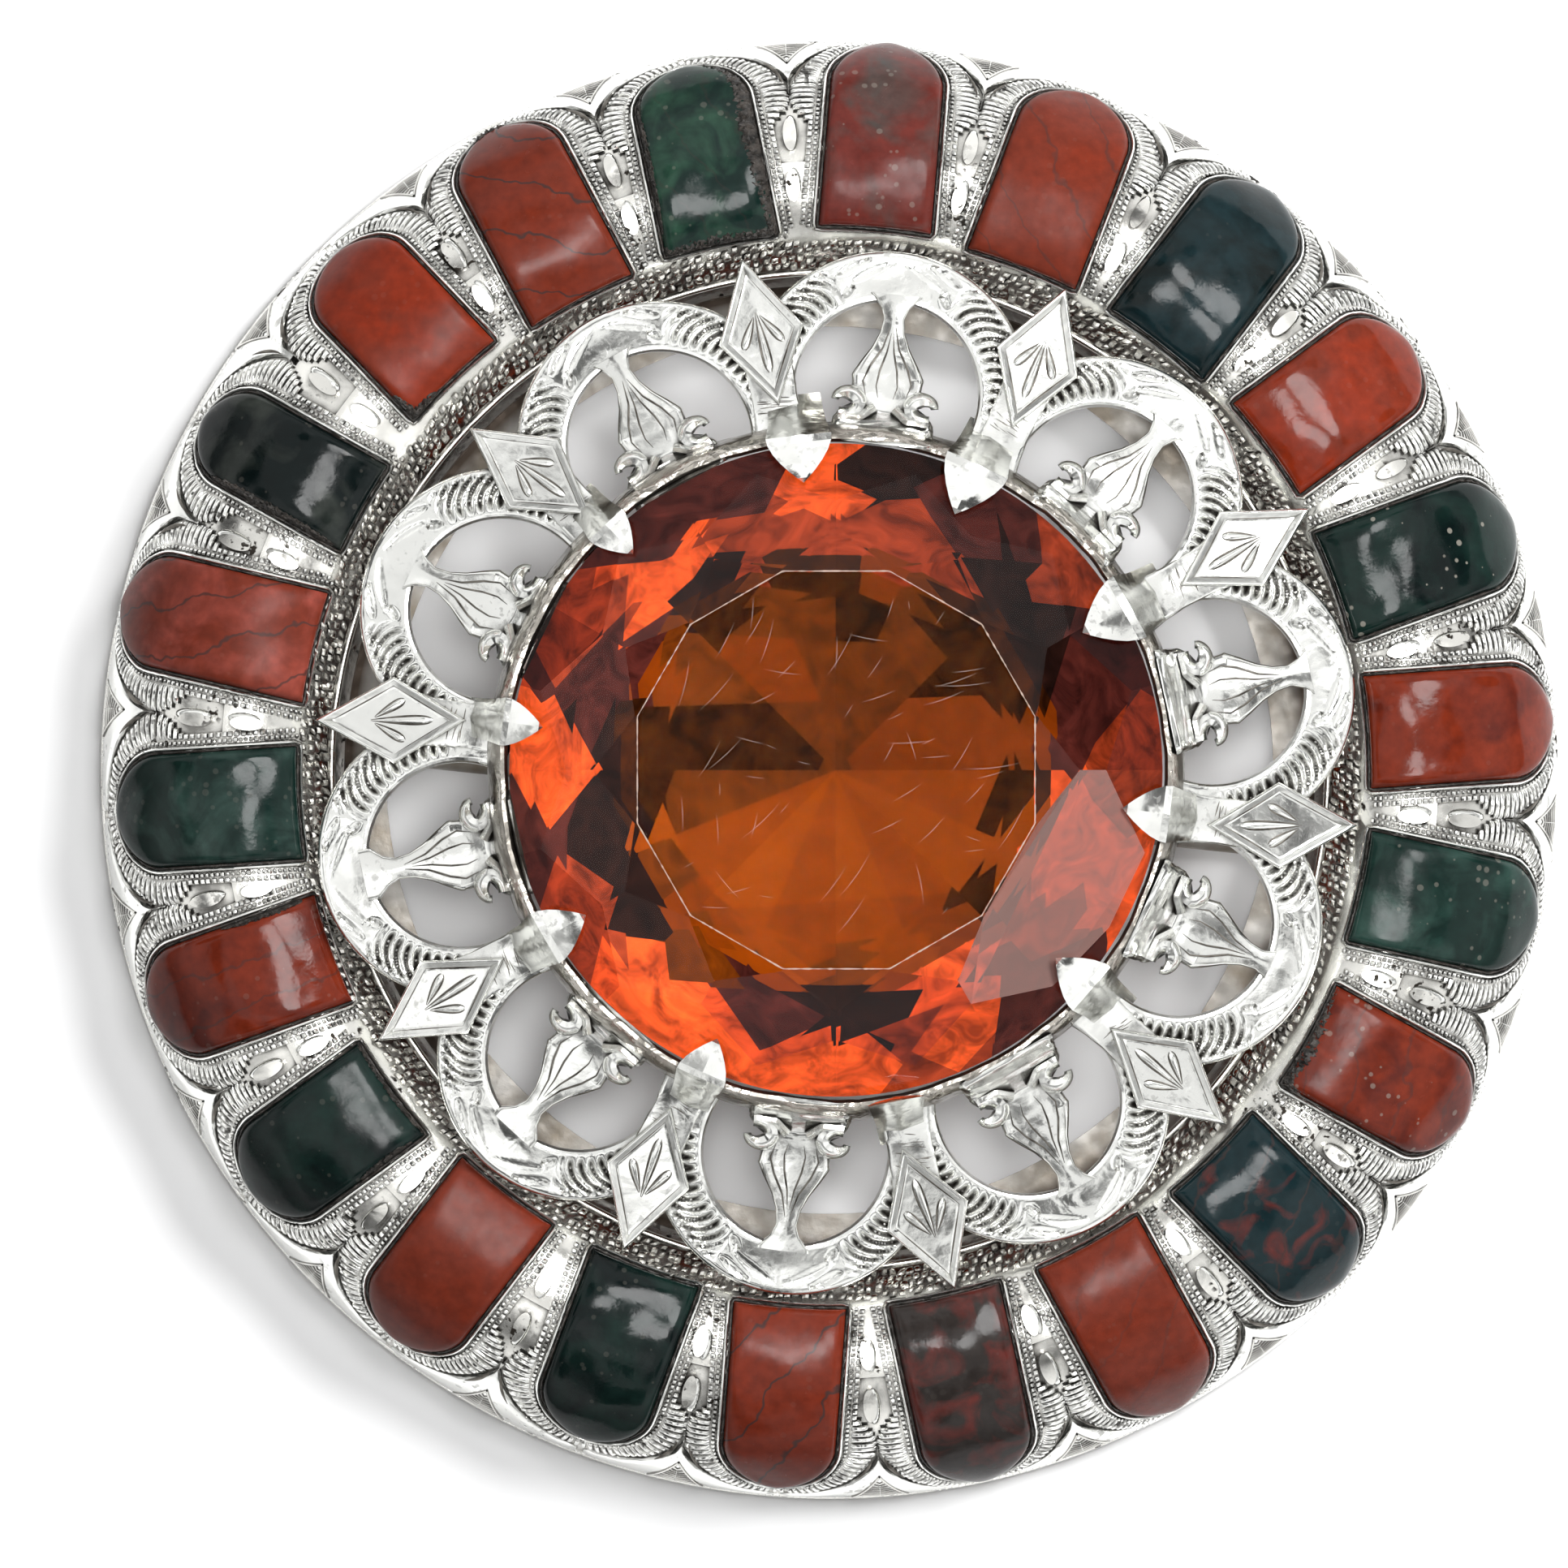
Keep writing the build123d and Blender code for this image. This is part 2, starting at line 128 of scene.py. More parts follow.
# Each agate: turn off the even spacing, shares by which its ends lie further out, share of
# the width. The same as in the solids.
Agate = namedtuple("Agate", "turn start end width", defaults=(1.0,))
agates = [
    Agate(-0.1, 0.00, -0.03),
    Agate(-0.2, 0.03, 0.03),
    Agate(0.0, 0.00, 0.00, 1.02),
    Agate(-0.2, 0.00, 0.02, 1.03),
    Agate(0.0, 0.03, -0.02),
    Agate(0.0, 0.00, 0.02),
    Agate(0.4, 0.01, 0.01),
    Agate(0.4, 0.03, 0.00),
    Agate(0.2, 0.06, 0.01),
    Agate(0.4, 0.03, 0.00),
    Agate(0.4, 0.01, 0.02),
    Agate(0.5, 0.00, 0.02),
    Agate(0.3, 0.00, -0.02),
    Agate(0.6, -0.03, -0.06),
    Agate(-0.2, -0.03, -0.04),
    Agate(-0.3, 0.03, -0.04),
    Agate(-0.3, -0.05, -0.01),
    Agate(-0.1, -0.03, -0.05),
    Agate(-0.6, -0.04, 0.02),
    Agate(-0.2, -0.01, -0.03, 0.86),
    Agate(-0.6, 0.03, -0.05),
    Agate(-0.3, -0.03, 0.00),
]
# Each lobe and each kite: turn off the even spacing, share by which it lies further out and, for
# a kite, its lean
Lobe = namedtuple("Lobe", "turn reach")
lobes = [
    Lobe(-0.3, 0.00),
    Lobe(-1.1, -0.04),
    Lobe(0.3, -0.02),
    Lobe(-0.2, -0.08),
    Lobe(-0.7, -0.02),
    Lobe(-1.1, 0.02),
    Lobe(-0.6, 0.06),
    Lobe(0.3, 0.08),
    Lobe(-1.2, -0.02),
    Lobe(-0.7, -0.03),
]
Kite = namedtuple("Kite", "turn reach lean")
kites = [
    Kite(-0.7, 0.00, 3.0),
    Kite(-0.6, 0.06, 3.5),
    Kite(-0.4, 0.08, 1.3),
    Kite(0.2, -0.04, 6.0),
    Kite(-0.6, -0.02, 2.8),
    Kite(0.3, 0.04, 8.5),
    Kite(-0.6, 0.02, 6.5),
    Kite(0.1, 0.09, 3.3),
    Kite(0.5, 0.05, 5.6),
    Kite(-0.5, -0.10, 7.0),
]
# Each claw: its azimuth, and its length and width as shares of the usual ones
Claw = namedtuple("Claw", "angle reach width")
claws = [
    Claw(96.4, 1.00, 1.10),
    Claw(65.1, 1.15, 1.10),
    Claw(29.1, 1.15, 1.15),
    Claw(-7.6, 1.00, 0.95),
    Claw(-40.6, 1.00, 0.95),
    Claw(-79.7, 0.10, 0.95),
    Claw(-113.8, 0.90, 0.85),
    Claw(-149.9, 1.00, 0.95),
    Claw(171.7, 0.85, 0.80),
    Claw(133.2, 0.85, 0.75),
]


class Shape:
    """Points and faces gathered from grids, made into one mesh at the end."""

    def __init__(self):
        self.points = []
        self.faces = []
        self.count = 0

    def add_grids(self, grids, wrap_rows=False, wrap_columns=False):
        """Adds quad grids, an array of shape (grids, rows, columns, 3), with their faces up."""
        grids = np.asarray(grids, float)
        number, rows, columns = grids.shape[:3]
        index = np.arange(number * rows * columns).reshape(number, rows, columns) + self.count
        if wrap_rows:
            index = np.concatenate([index, index[:, :1]], axis=1)
        if wrap_columns:
            index = np.concatenate([index, index[:, :, :1]], axis=2)
        corners = [index[:, :-1, :-1], index[:, :-1, 1:], index[:, 1:, 1:], index[:, 1:, :-1]]
        quads = np.stack(corners, axis=-1).reshape(-1, 4)
        a, b, c, d = (grids.reshape(-1, 3)[quads[:, k] - self.count] for k in range(4))
        if np.cross(c - a, d - b)[:, 2].sum() < 0:
            quads = quads[:, ::-1]
        self.points.append(grids.reshape(-1, 3))
        self.faces.extend(quads.tolist())
        self.count += number * rows * columns

    def add_grid(self, grid, **options):
        self.add_grids(np.asarray(grid, float)[None], **options)

    def add_faces(self, points, faces):
        points = np.asarray(points, float)
        self.points.append(points)
        self.faces.extend([[corner + self.count for corner in face] for face in faces])
        self.count += len(points)

    def make(self, name, material, slot, sharp=40.0, outward=False, weld=False):
        """Makes the mesh object, shades it smooth up to an angle and rides it on the brooch."""
        mesh = bpy.data.meshes.new(name)
        mesh.from_pydata((np.concatenate(self.points) * MM).tolist(), [], self.faces)
        mesh.validate()
        if weld or outward:
            clean_mesh(mesh, weld, outward)
        mesh.shade_smooth()
        mesh.set_sharp_from_angle(angle=radians(sharp))
        mesh.materials.append(material)
        piece = bpy.data.objects.new(name, mesh)
        bpy.context.scene.collection.objects.link(piece)
        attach(piece, "root")
        return piece


def clean_mesh(mesh, weld, outward):
    """Merges points that coincide, and turns every face of a closed mesh to face out."""
    work = bmesh.new()
    work.from_mesh(mesh)
    if weld:
        bmesh.ops.remove_doubles(work, verts=work.verts, dist=weld_distance * MM)
    if outward:
        bmesh.ops.recalc_face_normals(work, faces=work.faces)
    work.to_mesh(mesh)
    work.free()


def dome_points(angle, arc, lift):
    """Points on the dome at angles in radians, arcs and lifts, which broadcast together."""
    angle, arc, lift = np.broadcast_arrays(angle, arc, lift)
    slope = arc / dome_radius
    radius = crest_radius + (dome_radius + lift) * np.cos(slope)
    height = foot_height + (dome_radius + lift) * np.sin(slope)
    return np.stack([radius * np.cos(angle), radius * np.sin(angle), height], axis=-1)


def dome_plan_radius(arc):
    return crest_radius + dome_radius * np.cos(arc / dome_radius)


def arc_at(radius):
    """Arc at a plan radius, on the upper face of the dome."""
    return dome_radius * np.arccos(np.clip((radius - crest_radius) / dome_radius, -1, 1))


def chart_to_dome(centre_angle, across, arc, lift):
    """Points from a chart: across is the length round the ring from the chart's own angle."""
    angle = centre_angle + across / dome_plan_radius(arc)
    return dome_points(angle, arc, lift)


def lengths_along(path):
    """Length from the first point of a polyline to each of its points."""
    return np.concatenate([[0], np.cumsum(np.hypot(*np.diff(path, axis=0).T))])


def at_lengths(path, base, wanted):
    """Points of a path at given lengths along another path of as many points."""
    along = lengths_along(base)
    return np.stack([np.interp(wanted, along, path[:, k]) for k in (0, 1)], axis=1)


def resample(path, pitch):
    """Evenly spaced points along a plane polyline, at about the pitch."""
    length = lengths_along(path)[-1]
    count = max(int(round(length / pitch)), 1)
    return at_lengths(path, path, np.linspace(0, length, count + 1))


def normals_of(path, closed=False):
    """Unit normals to the left of a plane polyline."""
    if closed:
        tangent = np.roll(path, -1, axis=0) - np.roll(path, 1, axis=0)
    else:
        tangent = np.gradient(path, axis=0)
    tangent = tangent / np.maximum(np.hypot(*tangent.T), 1e-9)[:, None]
    return np.stack([-tangent[:, 1], tangent[:, 0]], axis=1)


def stone_angle(index):
    return radians(first_stone_angle - index * stone_pitch + agates[index].turn)


def stone_plan(agate):
    """Plan outline of an agate along +X: from its inner end, round its outer end and back."""
    half = agate.width * stone_width / 2
    start = stone_start + agate.start * stone_length
    shoulder = stone_start + (1 + agate.end) * stone_length - round_end
    side = np.linspace(start, shoulder, 60)
    turn = np.linspace(pi / 2, -pi / 2, 80)
    out = [np.stack([side, np.full_like(side, half)], 1)]
    out.append(np.stack([shoulder + round_end * np.cos(turn), half * np.sin(turn)], 1)[1:-1])
    out.append(np.stack([side[::-1], np.full_like(side, -half)], 1))
    return np.concatenate(out)


def stone_path(agate, pitch=0.1):
    """The agate's outline in its chart, as (across, arc), open at the inner end."""
    plan = stone_plan(agate)
    radius = np.hypot(*plan.T)
    across = radius * np.arctan2(plan[:, 1], plan[:, 0])
    return resample(np.stack([across, arc_at(radius)], 1), pitch)


stone_paths = [stone_path(agate) for agate in agates]


def in_chart(centre_angle):
    """A function that lifts chart points, (across, arc), off the dome."""

    def to_surface(plan, lift):
        return chart_to_dome(centre_angle, plan[..., 0], plan[..., 1], lift)

    return to_surface


# Gallery surface: a cone that turns up into a neck, as in the solids
gallery_slope = gallery_rise / (gallery_reach - neck_radius)
neck_foot = seat_height + gallery_rise
slope_length = hypot(1, gallery_slope)
neck_in = np.array([neck_inner - neck_radius, neck_top - neck_foot])
neck_normal = np.array([gallery_slope, 1]) / slope_length
neck_bend = neck_in @ neck_in / (2 * neck_in @ neck_normal)
neck_centre = np.array([neck_radius, neck_foot]) + neck_bend * neck_normal


def gallery_top(radius):
    """Height of the gallery sheet's upper face at a distance from the gallery's axis."""
    cone = seat_height + gallery_slope * (gallery_reach - radius)
    inside = np.clip(neck_bend**2 - (radius - neck_centre[0]) ** 2, 0, None)
    neck = neck_centre[1] - np.sqrt(inside)
    return sheet + np.where(radius > neck_radius, cone, neck)


def on_gallery(plan, lift):
    """Points on the gallery sheet; plan is measured from the gallery's axis."""
    height = gallery_top(np.hypot(plan[..., 0], plan[..., 1])) + lift
    return np.stack([plan[..., 0] + gallery_x, plan[..., 1] + gallery_y, height], axis=-1)


def turned(plan, angle):
    """Plan points turned about the axis by an angle in radians."""
    x, y = plan[..., 0], plan[..., 1]
    return np.stack([x * cos(angle) - y * sin(angle), x * sin(angle) + y * cos(angle)], axis=-1)


def on_gallery_turned(angle):
    """A function that lifts points drawn along +X after turning them about the axis."""

    def to_surface(plan, lift):
        return on_gallery(turned(plan, angle), lift)

    return to_surface


# Materials


def add_node(tree, kind, inputs=None, **settings):
    made = tree.nodes.new(kind)
    for key, value in settings.items():
        setattr(made, key, value)
    for key, value in (inputs or {}).items():
        if isinstance(value, bpy.types.NodeSocket):
            tree.links.new(value, made.inputs[key])
        else:
            made.inputs[key].default_value = value
    return made


def new_material(name, **numbers):
    """A material's node tree and its Principled shader, with numbers set on its sockets."""
    material = bpy.data.materials.new(name)
    material.use_nodes = True
    tree = material.node_tree
    shader = tree.nodes["Principled BSDF"]
    for socket, number in numbers.items():
        shader.inputs[socket.replace("_", " ")].default_value = number
    return material, tree, shader


def own_place(tree):
    """Place on the object, in metres."""
    return add_node(tree, "ShaderNodeTexCoord").outputs["Object"]


def noise(tree, size, detail=2.0, rough=0.5, warp=0.0, place=None):
    """Noise with features of a size in millimetres."""
    inputs = {"Scale": 1 / (size * MM), "Detail": detail, "Roughness": rough, "Distortion": warp}
    inputs["Vector"] = own_place(tree) if place is None else place
    return add_node(tree, "ShaderNodeTexNoise", inputs).outputs["Fac"]


def ramp(tree, value, span, out=(0.0, 1.0)):
    """A value mapped from its span to another, held at the ends."""
    limits = {"From Min": span[0], "From Max": span[1], "To Min": out[0], "To Max": out[1]}
    return add_node(tree, "ShaderNodeMapRange", {"Value": value, **limits}).outputs[0]


def mix(tree, factor, a, b):
    made = add_node(tree, "ShaderNodeMix", {"Factor": factor}, data_type="RGBA")
    for socket, value in ((made.inputs[6], a), (made.inputs[7], b)):
        if isinstance(value, bpy.types.NodeSocket):
            tree.links.new(value, socket)
        else:
            socket.default_value = (*value, 1)
    return made.outputs[2]


def maths(tree, operation, *values):
    return add_node(tree, "ShaderNodeMath", dict(enumerate(values)), operation=operation).outputs[0]


def bump(tree, shader, height, distance):
    made = add_node(tree, "ShaderNodeBump", {"Height": height, "Strength": 1.0, "Distance": distance * MM})
    tree.links.new(made.outputs[0], shader.inputs["Normal"])


# Silvers: colour where bright and where dark with tarnish and painted shade, how far in millimetres a recess
# is felt, how open a place is where that darkening is full and where it ends, and the depth of stains, pits
# and hammering
Silver = namedtuple("Silver", "bright dark recess full free stain pits hammer")
bright_silver = (0.94, 0.945, 0.91)
# Dark colours of silver: tarnish, and painted shade in its recesses
dark_tarnish_and_shade = (0.055, 0.048, 0.040)
black_tarnish_and_shade = (0.02, 0.017, 0.013)
silver_looks = {
    "ring_silver": Silver(bright_silver, dark_tarnish_and_shade, 0.5, 0.3, 0.8, 0.25, 0.5, 0.06),
    "ground_silver": Silver((0.90, 0.89, 0.84), (0.035, 0.03, 0.025), 0.4, 0.45, 0.9, 0.35, 1.0, 0.03),
    "milled_silver": Silver((0.97, 0.97, 0.935), black_tarnish_and_shade, 0.25, 0.45, 0.86, 0.2, 0.9, 0.03),
    "hatched_silver": Silver((0.80, 0.79, 0.75), black_tarnish_and_shade, 0.3, 0.55, 1.0, 0.4, 0.0, 0.03),
    "gallery_silver": Silver(bright_silver, dark_tarnish_and_shade, 0.5, 0.3, 0.85, 0.15, 0.3, 0.06),
    "collar_silver": Silver((0.50, 0.47, 0.42), dark_tarnish_and_shade, 0.8, 0.35, 1.0, 0.8, 0.0, 0.3),
    "grain_silver": Silver((0.98, 0.96, 0.90), (0.025, 0.017, 0.012), 0.5, 0.4, 0.85, 0.4, 0.6, 0.03),
}


def silver(name, look):
    """Polished silver, darkened in its recesses by tarnish and painted shade, stained in soft patches,
    pitted and hammered.
    """
    material, tree, shader = new_material(name, Metallic=1.0)
    # Painted shade: recesses found by occlusion are darkened, as tarnish and as the shade that falls there
    occlusion = add_node(tree, "ShaderNodeAmbientOcclusion", {"Distance": look.recess * MM}, samples=4)
    uneven = ramp(tree, noise(tree, size=1.3, detail=3.0), (0.3, 0.7), out=(-0.15, 0.15))
    openness = maths(tree, "ADD", occlusion.outputs["AO"], uneven)
    recess_tarnish_and_shade = ramp(tree, openness, (look.free, look.full))
    stains = ramp(tree, noise(tree, size=4.0, detail=3.0, warp=0.6), (0.5, 0.75), out=(0.0, look.stain))
    spots = ramp(tree, noise(tree, size=0.45), (0.57, 0.64))
    crowded = ramp(tree, noise(tree, size=3.2, warp=0.5), (0.5, 0.6), out=(0.0, look.pits))
    tarnish_and_shade = maths(tree, "MAXIMUM", recess_tarnish_and_shade, stains)
    tarnish_and_shade = maths(tree, "MAXIMUM", tarnish_and_shade, maths(tree, "MULTIPLY", spots, crowded))
    tree.links.new(mix(tree, tarnish_and_shade, look.bright, look.dark), shader.inputs["Base Color"])
    scuffs = ramp(tree, noise(tree, size=2.2, detail=4.0), (0.35, 0.7), out=(0.0, 0.12))
    roughness = maths(tree, "ADD", ramp(tree, tarnish_and_shade, (0.0, 1.0), out=(0.1, 0.5)), scuffs)
    tree.links.new(roughness, shader.inputs["Roughness"])
    fine_waves = noise(tree, size=0.35, detail=3.0)
    broad_waves = noise(tree, size=1.5, rough=0.4, warp=0.5)
    bump(tree, shader, maths(tree, "MULTIPLY_ADD", fine_waves, 0.12, broad_waves), look.hammer)
    return material


silvers = {name: silver(name, look) for name, look in silver_looks.items()}

# Back plate: dull, and dark brown in its outer margin under the ring: tarnish and the ring's painted shadow
margin_shade_from, margin_shade_to = 24.1, 24.9
back_silver, tree, shader = new_material("back_silver", Metallic=0.6)
in_plan = {0: own_place(tree), 1: (1.0, 1.0, 0.0)}
flat_place = add_node(tree, "ShaderNodeVectorMath", in_plan, operation="MULTIPLY").outputs[0]
plan_radius = add_node(tree, "ShaderNodeVectorMath", {0: flat_place}, operation="LENGTH").outputs["Value"]
# Painted shadow: the margin that the ring overhangs is darkened, as tarnish and as the ring's shade
margin_tarnish_and_shade = ramp(tree, plan_radius, (margin_shade_from * MM, margin_shade_to * MM))
blotches = ramp(tree, noise(tree, size=2.5, detail=4.0), (0.35, 0.65))
blotched = mix(tree, blotches, (0.50, 0.48, 0.45), (0.30, 0.26, 0.21))
tree.links.new(mix(tree, margin_tarnish_and_shade, blotched, (0.06, 0.042, 0.03)), shader.inputs["Base Color"])
scuffs = ramp(tree, noise(tree, size=0.8, detail=4.0), (0.3, 0.7), out=(0.4, 0.6))
tree.links.new(scuffs, shader.inputs["Roughness"])
bump(tree, shader, noise(tree, size=0.5, detail=4.0), 0.04)

# Engraved lines: dark, and worn brighter in places
engraved, tree, shader = new_material("engraved_line", Metallic=1.0, Roughness=0.4)
worn = ramp(tree, noise(tree, size=0.7, detail=3.0), (0.3, 0.7))
tree.links.new(mix(tree, worn, (0.035, 0.03, 0.025), (0.22, 0.205, 0.18)), shader.inputs["Base Color"])

# Cement: black and crumbly
cement_material, tree, shader = new_material("cement", Roughness=0.45)
greyed = ramp(tree, noise(tree, size=0.5, detail=4.0), (0.35, 0.7))
tree.links.new(mix(tree, greyed, (0.010, 0.009, 0.008), (0.05, 0.042, 0.036)), shader.inputs["Base Color"])
bump(tree, shader, noise(tree, size=0.3, detail=4.0), 0.12)

# Citrine: the tint and refractive index of each kind of polished face. The index stands below
# the real one, so that the back facets show nearly straight below the face.
glasses = {
    "table_glass": ((1.0, 0.97, 0.9), 1.05),
    "clear_glass": ((1.0, 0.92, 0.85), 1.3),
    "rose_glass": ((0.62, 0.42, 0.38), 1.3),
    "smoke_glass": ((0.28, 0.17, 0.16), 1.3),
}
# Colours of its back facets, painted as the reflections seen inside the stone, and how much their streaks
# vary them
tones = {
    "amber": ((0.152, 0.027, 0.0005), 0.10),
    "gold": ((0.130, 0.022, 0.0005), 0.12),
    "honey": ((0.106, 0.0175, 0.0005), 0.18),
    "brown": ((0.070, 0.014, 0.0007), 0.4),
    "umber": ((0.022, 0.005, 0.0005), 0.7),
    "flame": ((0.43, 0.052, 0.009), 0.6),
    "ember": ((0.17, 0.022, 0.006), 0.6),
    "maroon": ((0.040, 0.008, 0.006), 0.6),
    "night": ((0.009, 0.003, 0.002), 0.6),
}
# Strength of the painted glow of the back facets, seen from inside the stone
inner_glow = 0.8


def clear_glass(name, tint, index):
    """The polished face of the citrine, through which its back facets show."""
    numbers = {"Roughness": 0.0, "IOR": index, "Transmission_Weight": 1.0}
    return new_material(name, Base_Color=(*tint, 1), **numbers)[0]


def glow(name, colour, depth):
    """A back facet with painted reflection in its colour and a painted glow seen from inside the stone,
    varied in fine streaks.
    """
    material, tree, shader = new_material(name, Roughness=0.25, Specular_IOR_Level=0.0)
    streaks = noise(tree, size=2.5, detail=5.0, rough=0.6, warp=1.5)
    value = ramp(tree, streaks, (0.35, 0.7), out=(1 - depth, 1 + depth))
    toned = add_node(tree, "ShaderNodeHueSaturation", {"Color": (*colour, 1), "Value": value}).outputs[0]
    tree.links.new(toned, shader.inputs["Base Color"])
    tree.links.new(toned, shader.inputs["Emission Color"])
    from_inside = add_node(tree, "ShaderNodeNewGeometry").outputs["Backfacing"]
    tree.links.new(maths(tree, "MULTIPLY", from_inside, inner_glow), shader.inputs["Emission Strength"])
    return material


glass_materials = [clear_glass(name, *look) for name, look in glasses.items()]
tone_materials = [glow(name, *look) for name, look in tones.items()]
# A scuffed crown facet whose pinkish colour is a painted sheen, standing for a reflection
scuffed_sheen_facet = new_material(
    "scuffed_sheen_facet", Base_Color=(0.42, 0.25, 0.22, 1), Roughness=0.05, Transmission_Weight=0.62, IOR=1.3
)[0]
worn_stone = new_material("worn_stone", Base_Color=(0.42, 0.30, 0.24, 1), Roughness=0.6)[0]

# Colours of each agate: its ground, its second colour, how much of that shows, the size of
# its mottling in millimetres, its specks, its veins and how matt it is
usual_look = (0.4, 3.0, 0.1, 0.0, 0.0)
Colour = namedtuple("Colour", "ground second share size specks veins matt", defaults=usual_look)
red = (0.148, 0.018, 0.006)
deep_red = (0.078, 0.010, 0.005)
brick = (0.135, 0.020, 0.009)
bright_red = (0.186, 0.019, 0.005)
green = (0.005, 0.016, 0.013)
teal = (0.006, 0.017, 0.020)
black_green = (0.002, 0.005, 0.005)
colours = [
    Colour(green, (0.02, 0.055, 0.035), size=2.5, specks=0.3, veins=0.2),
    Colour((0.11, 0.018, 0.013), (0.045, 0.05, 0.045), share=0.3, size=4.0, specks=0.4, matt=0.1),
    Colour(brick, red, veins=0.5, matt=0.3),
    Colour(teal, black_green),
    Colour(bright_red, brick),
    Colour(green, black_green, specks=0.7),
    Colour(red, deep_red, share=0.3),
    Colour(green, (0.02, 0.05, 0.04), specks=0.4, matt=0.05),
    Colour(red, deep_red, share=0.5, size=2.0, specks=0.5, veins=0.4, matt=0.1),
    Colour(teal, (0.12, 0.02, 0.015), share=0.15, size=2.0, veins=0.6),
    Colour(brick, red, veins=0.3, matt=0.15),
    Colour((0.025, 0.02, 0.018), (0.10, 0.02, 0.016), size=2.0),
    Colour(red, brick, veins=0.9, matt=0.1),
    Colour(green, black_green, share=0.5, specks=0.2),
    Colour(brick, red, matt=0.2),
    Colour(green, black_green, share=0.5, specks=0.2, matt=0.05),
    Colour(red, deep_red, specks=0.2, veins=0.5),
    Colour(green, (0.03, 0.06, 0.05), share=0.3, specks=0.2),
    Colour(brick, (0.25, 0.05, 0.035), veins=0.8, matt=0.25),
    Colour(black_green, (0.03, 0.035, 0.03), share=0.3, specks=0.2),
    Colour(bright_red, brick, matt=0.2),
    Colour(brick, red, veins=0.9, matt=0.1),
]
speck_spacing = 0.7
speck_colour = (0.30, 0.28, 0.24)
vein_waves = {
    "Scale": 0.12 / MM, "Distortion": 5.0, "Detail": 4.0, "Detail Scale": 1.5, "Detail Roughness": 0.6,
}
vein_colour = (0.035, 0.02, 0.018)


def agate_material(index, colour):
    """Polished jasper or bloodstone: mottling, fine clouds, crowded specks and dark veins."""
    material, tree, shader = new_material(f"agate_{index + 1:02d}", Specular_IOR_Level=0.21)
    shift = (0.05 * index, 0.03 * index, 0)
    place = add_node(tree, "ShaderNodeMapping", {"Vector": own_place(tree), "Location": shift}).outputs[0]
    mottling = noise(tree, size=colour.size, detail=5.0, warp=0.8, place=place)
    middle = 0.72 - 0.4 * colour.share
    base = mix(tree, ramp(tree, mottling, (middle - 0.12, middle + 0.12)), colour.ground, colour.second)
    clouds = ramp(tree, noise(tree, size=0.6, detail=4.0), (0.3, 0.7), out=(0.8, 1.15))
    clouded = add_node(tree, "ShaderNodeHueSaturation", {"Color": base, "Value": clouds}).outputs[0]

    cell_inputs = {"Vector": place, "Scale": 1 / (speck_spacing * MM)}
    cells = add_node(tree, "ShaderNodeTexVoronoi", cell_inputs).outputs["Distance"]
    crowding = ramp(tree, noise(tree, size=2.6), (0.42, 0.62), out=(0.02, 0.26))
    speck_depth = colour.specks**1.6
    specks = ramp(tree, maths(tree, "SUBTRACT", crowding, cells), (-0.02, 0.03), out=(0.0, speck_depth))
    speckled = mix(tree, specks, clouded, speck_colour)

    lean = stone_angle(index) + 0.7 + 0.4 * index
    spun = add_node(tree, "ShaderNodeMapping", {"Vector": place, "Rotation": (0, 0, lean)}).outputs[0]
    waves = add_node(tree, "ShaderNodeTexWave", {"Vector": spun, **vein_waves}).outputs["Fac"]
    veins = ramp(tree, waves, (0.985, 1.0), out=(0.0, colour.veins))
    tree.links.new(mix(tree, veins, speckled, vein_colour), shader.inputs["Base Color"])

    polish = noise(tree, size=0.8, detail=4.0)
    roughness = ramp(tree, polish, (0.3, 0.8), out=(0.08 + colour.matt, 0.2 + colour.matt))
    tree.links.new(roughness, shader.inputs["Roughness"])
    bump(tree, shader, noise(tree, size=1.1, detail=3.0), 0.02)
    return material


agate_materials = [agate_material(index, colour) for index, colour in enumerate(colours)]

# Ring


def short_turn(angle):
    """An angle in radians as a turn of at most half a round either way."""
    return (angle + pi) % tau - pi


def mean_turn(first, second):
    """The angle half way between two angles in radians, the short way round."""
    return first + short_turn(second - first) / 2


def full_turn(count):
    """Evenly spaced angles in radians, once round."""
    return np.linspace(0, tau, count + 1)[:-1]


def plan_grid(along, across):
    """Plan points from two arrays of coordinates that broadcast together."""
    return np.stack(np.broadcast_arrays(along, across), axis=-1)


def closed_outline(path, pitch):
    """A stone's outline with its inner end closed, at about the pitch."""
    return resample(np.concatenate([path, path[:1]]), pitch)[:-1]


def web_angle(index):
    """The middle of the web between a stone and the next one clockwise, in radians."""
    return mean_turn(stone_angle(index), stone_angle((index + 1) % stone_count))


def band_reach(index, path):
    """How far the milled band reaches from each point of the stone's outline."""
    radius = dome_plan_radius(path[:, 1])
    reach = np.interp(radius, *zip(*band_table))
    half = agates[index].width * stone_width / 2
    left = (web_angle((index - 1) % stone_count) - stone_angle(index)) % tau
    right = (stone_angle(index) - web_angle(index)) % tau
    room = np.where(path[:, 0] > 0, left, right) * radius - half - web_gap
    return np.where(radius < band_free_radius, np.minimum(reach, room), reach)


def both_sides(half):
    """A symmetric section from its left half, whose rows are a share across and a lift."""
    half = np.array(half)
    right = half[half[:, 0] < 0][::-1] * np.array([-1, 1])
    return np.concatenate([half, right])


def beside(path, away, closed=False):
    """A row of places to the left of each point of a path, at the lengths in away."""
    return path[:, None] + normals_of(path, closed)[:, None] * away[..., None]


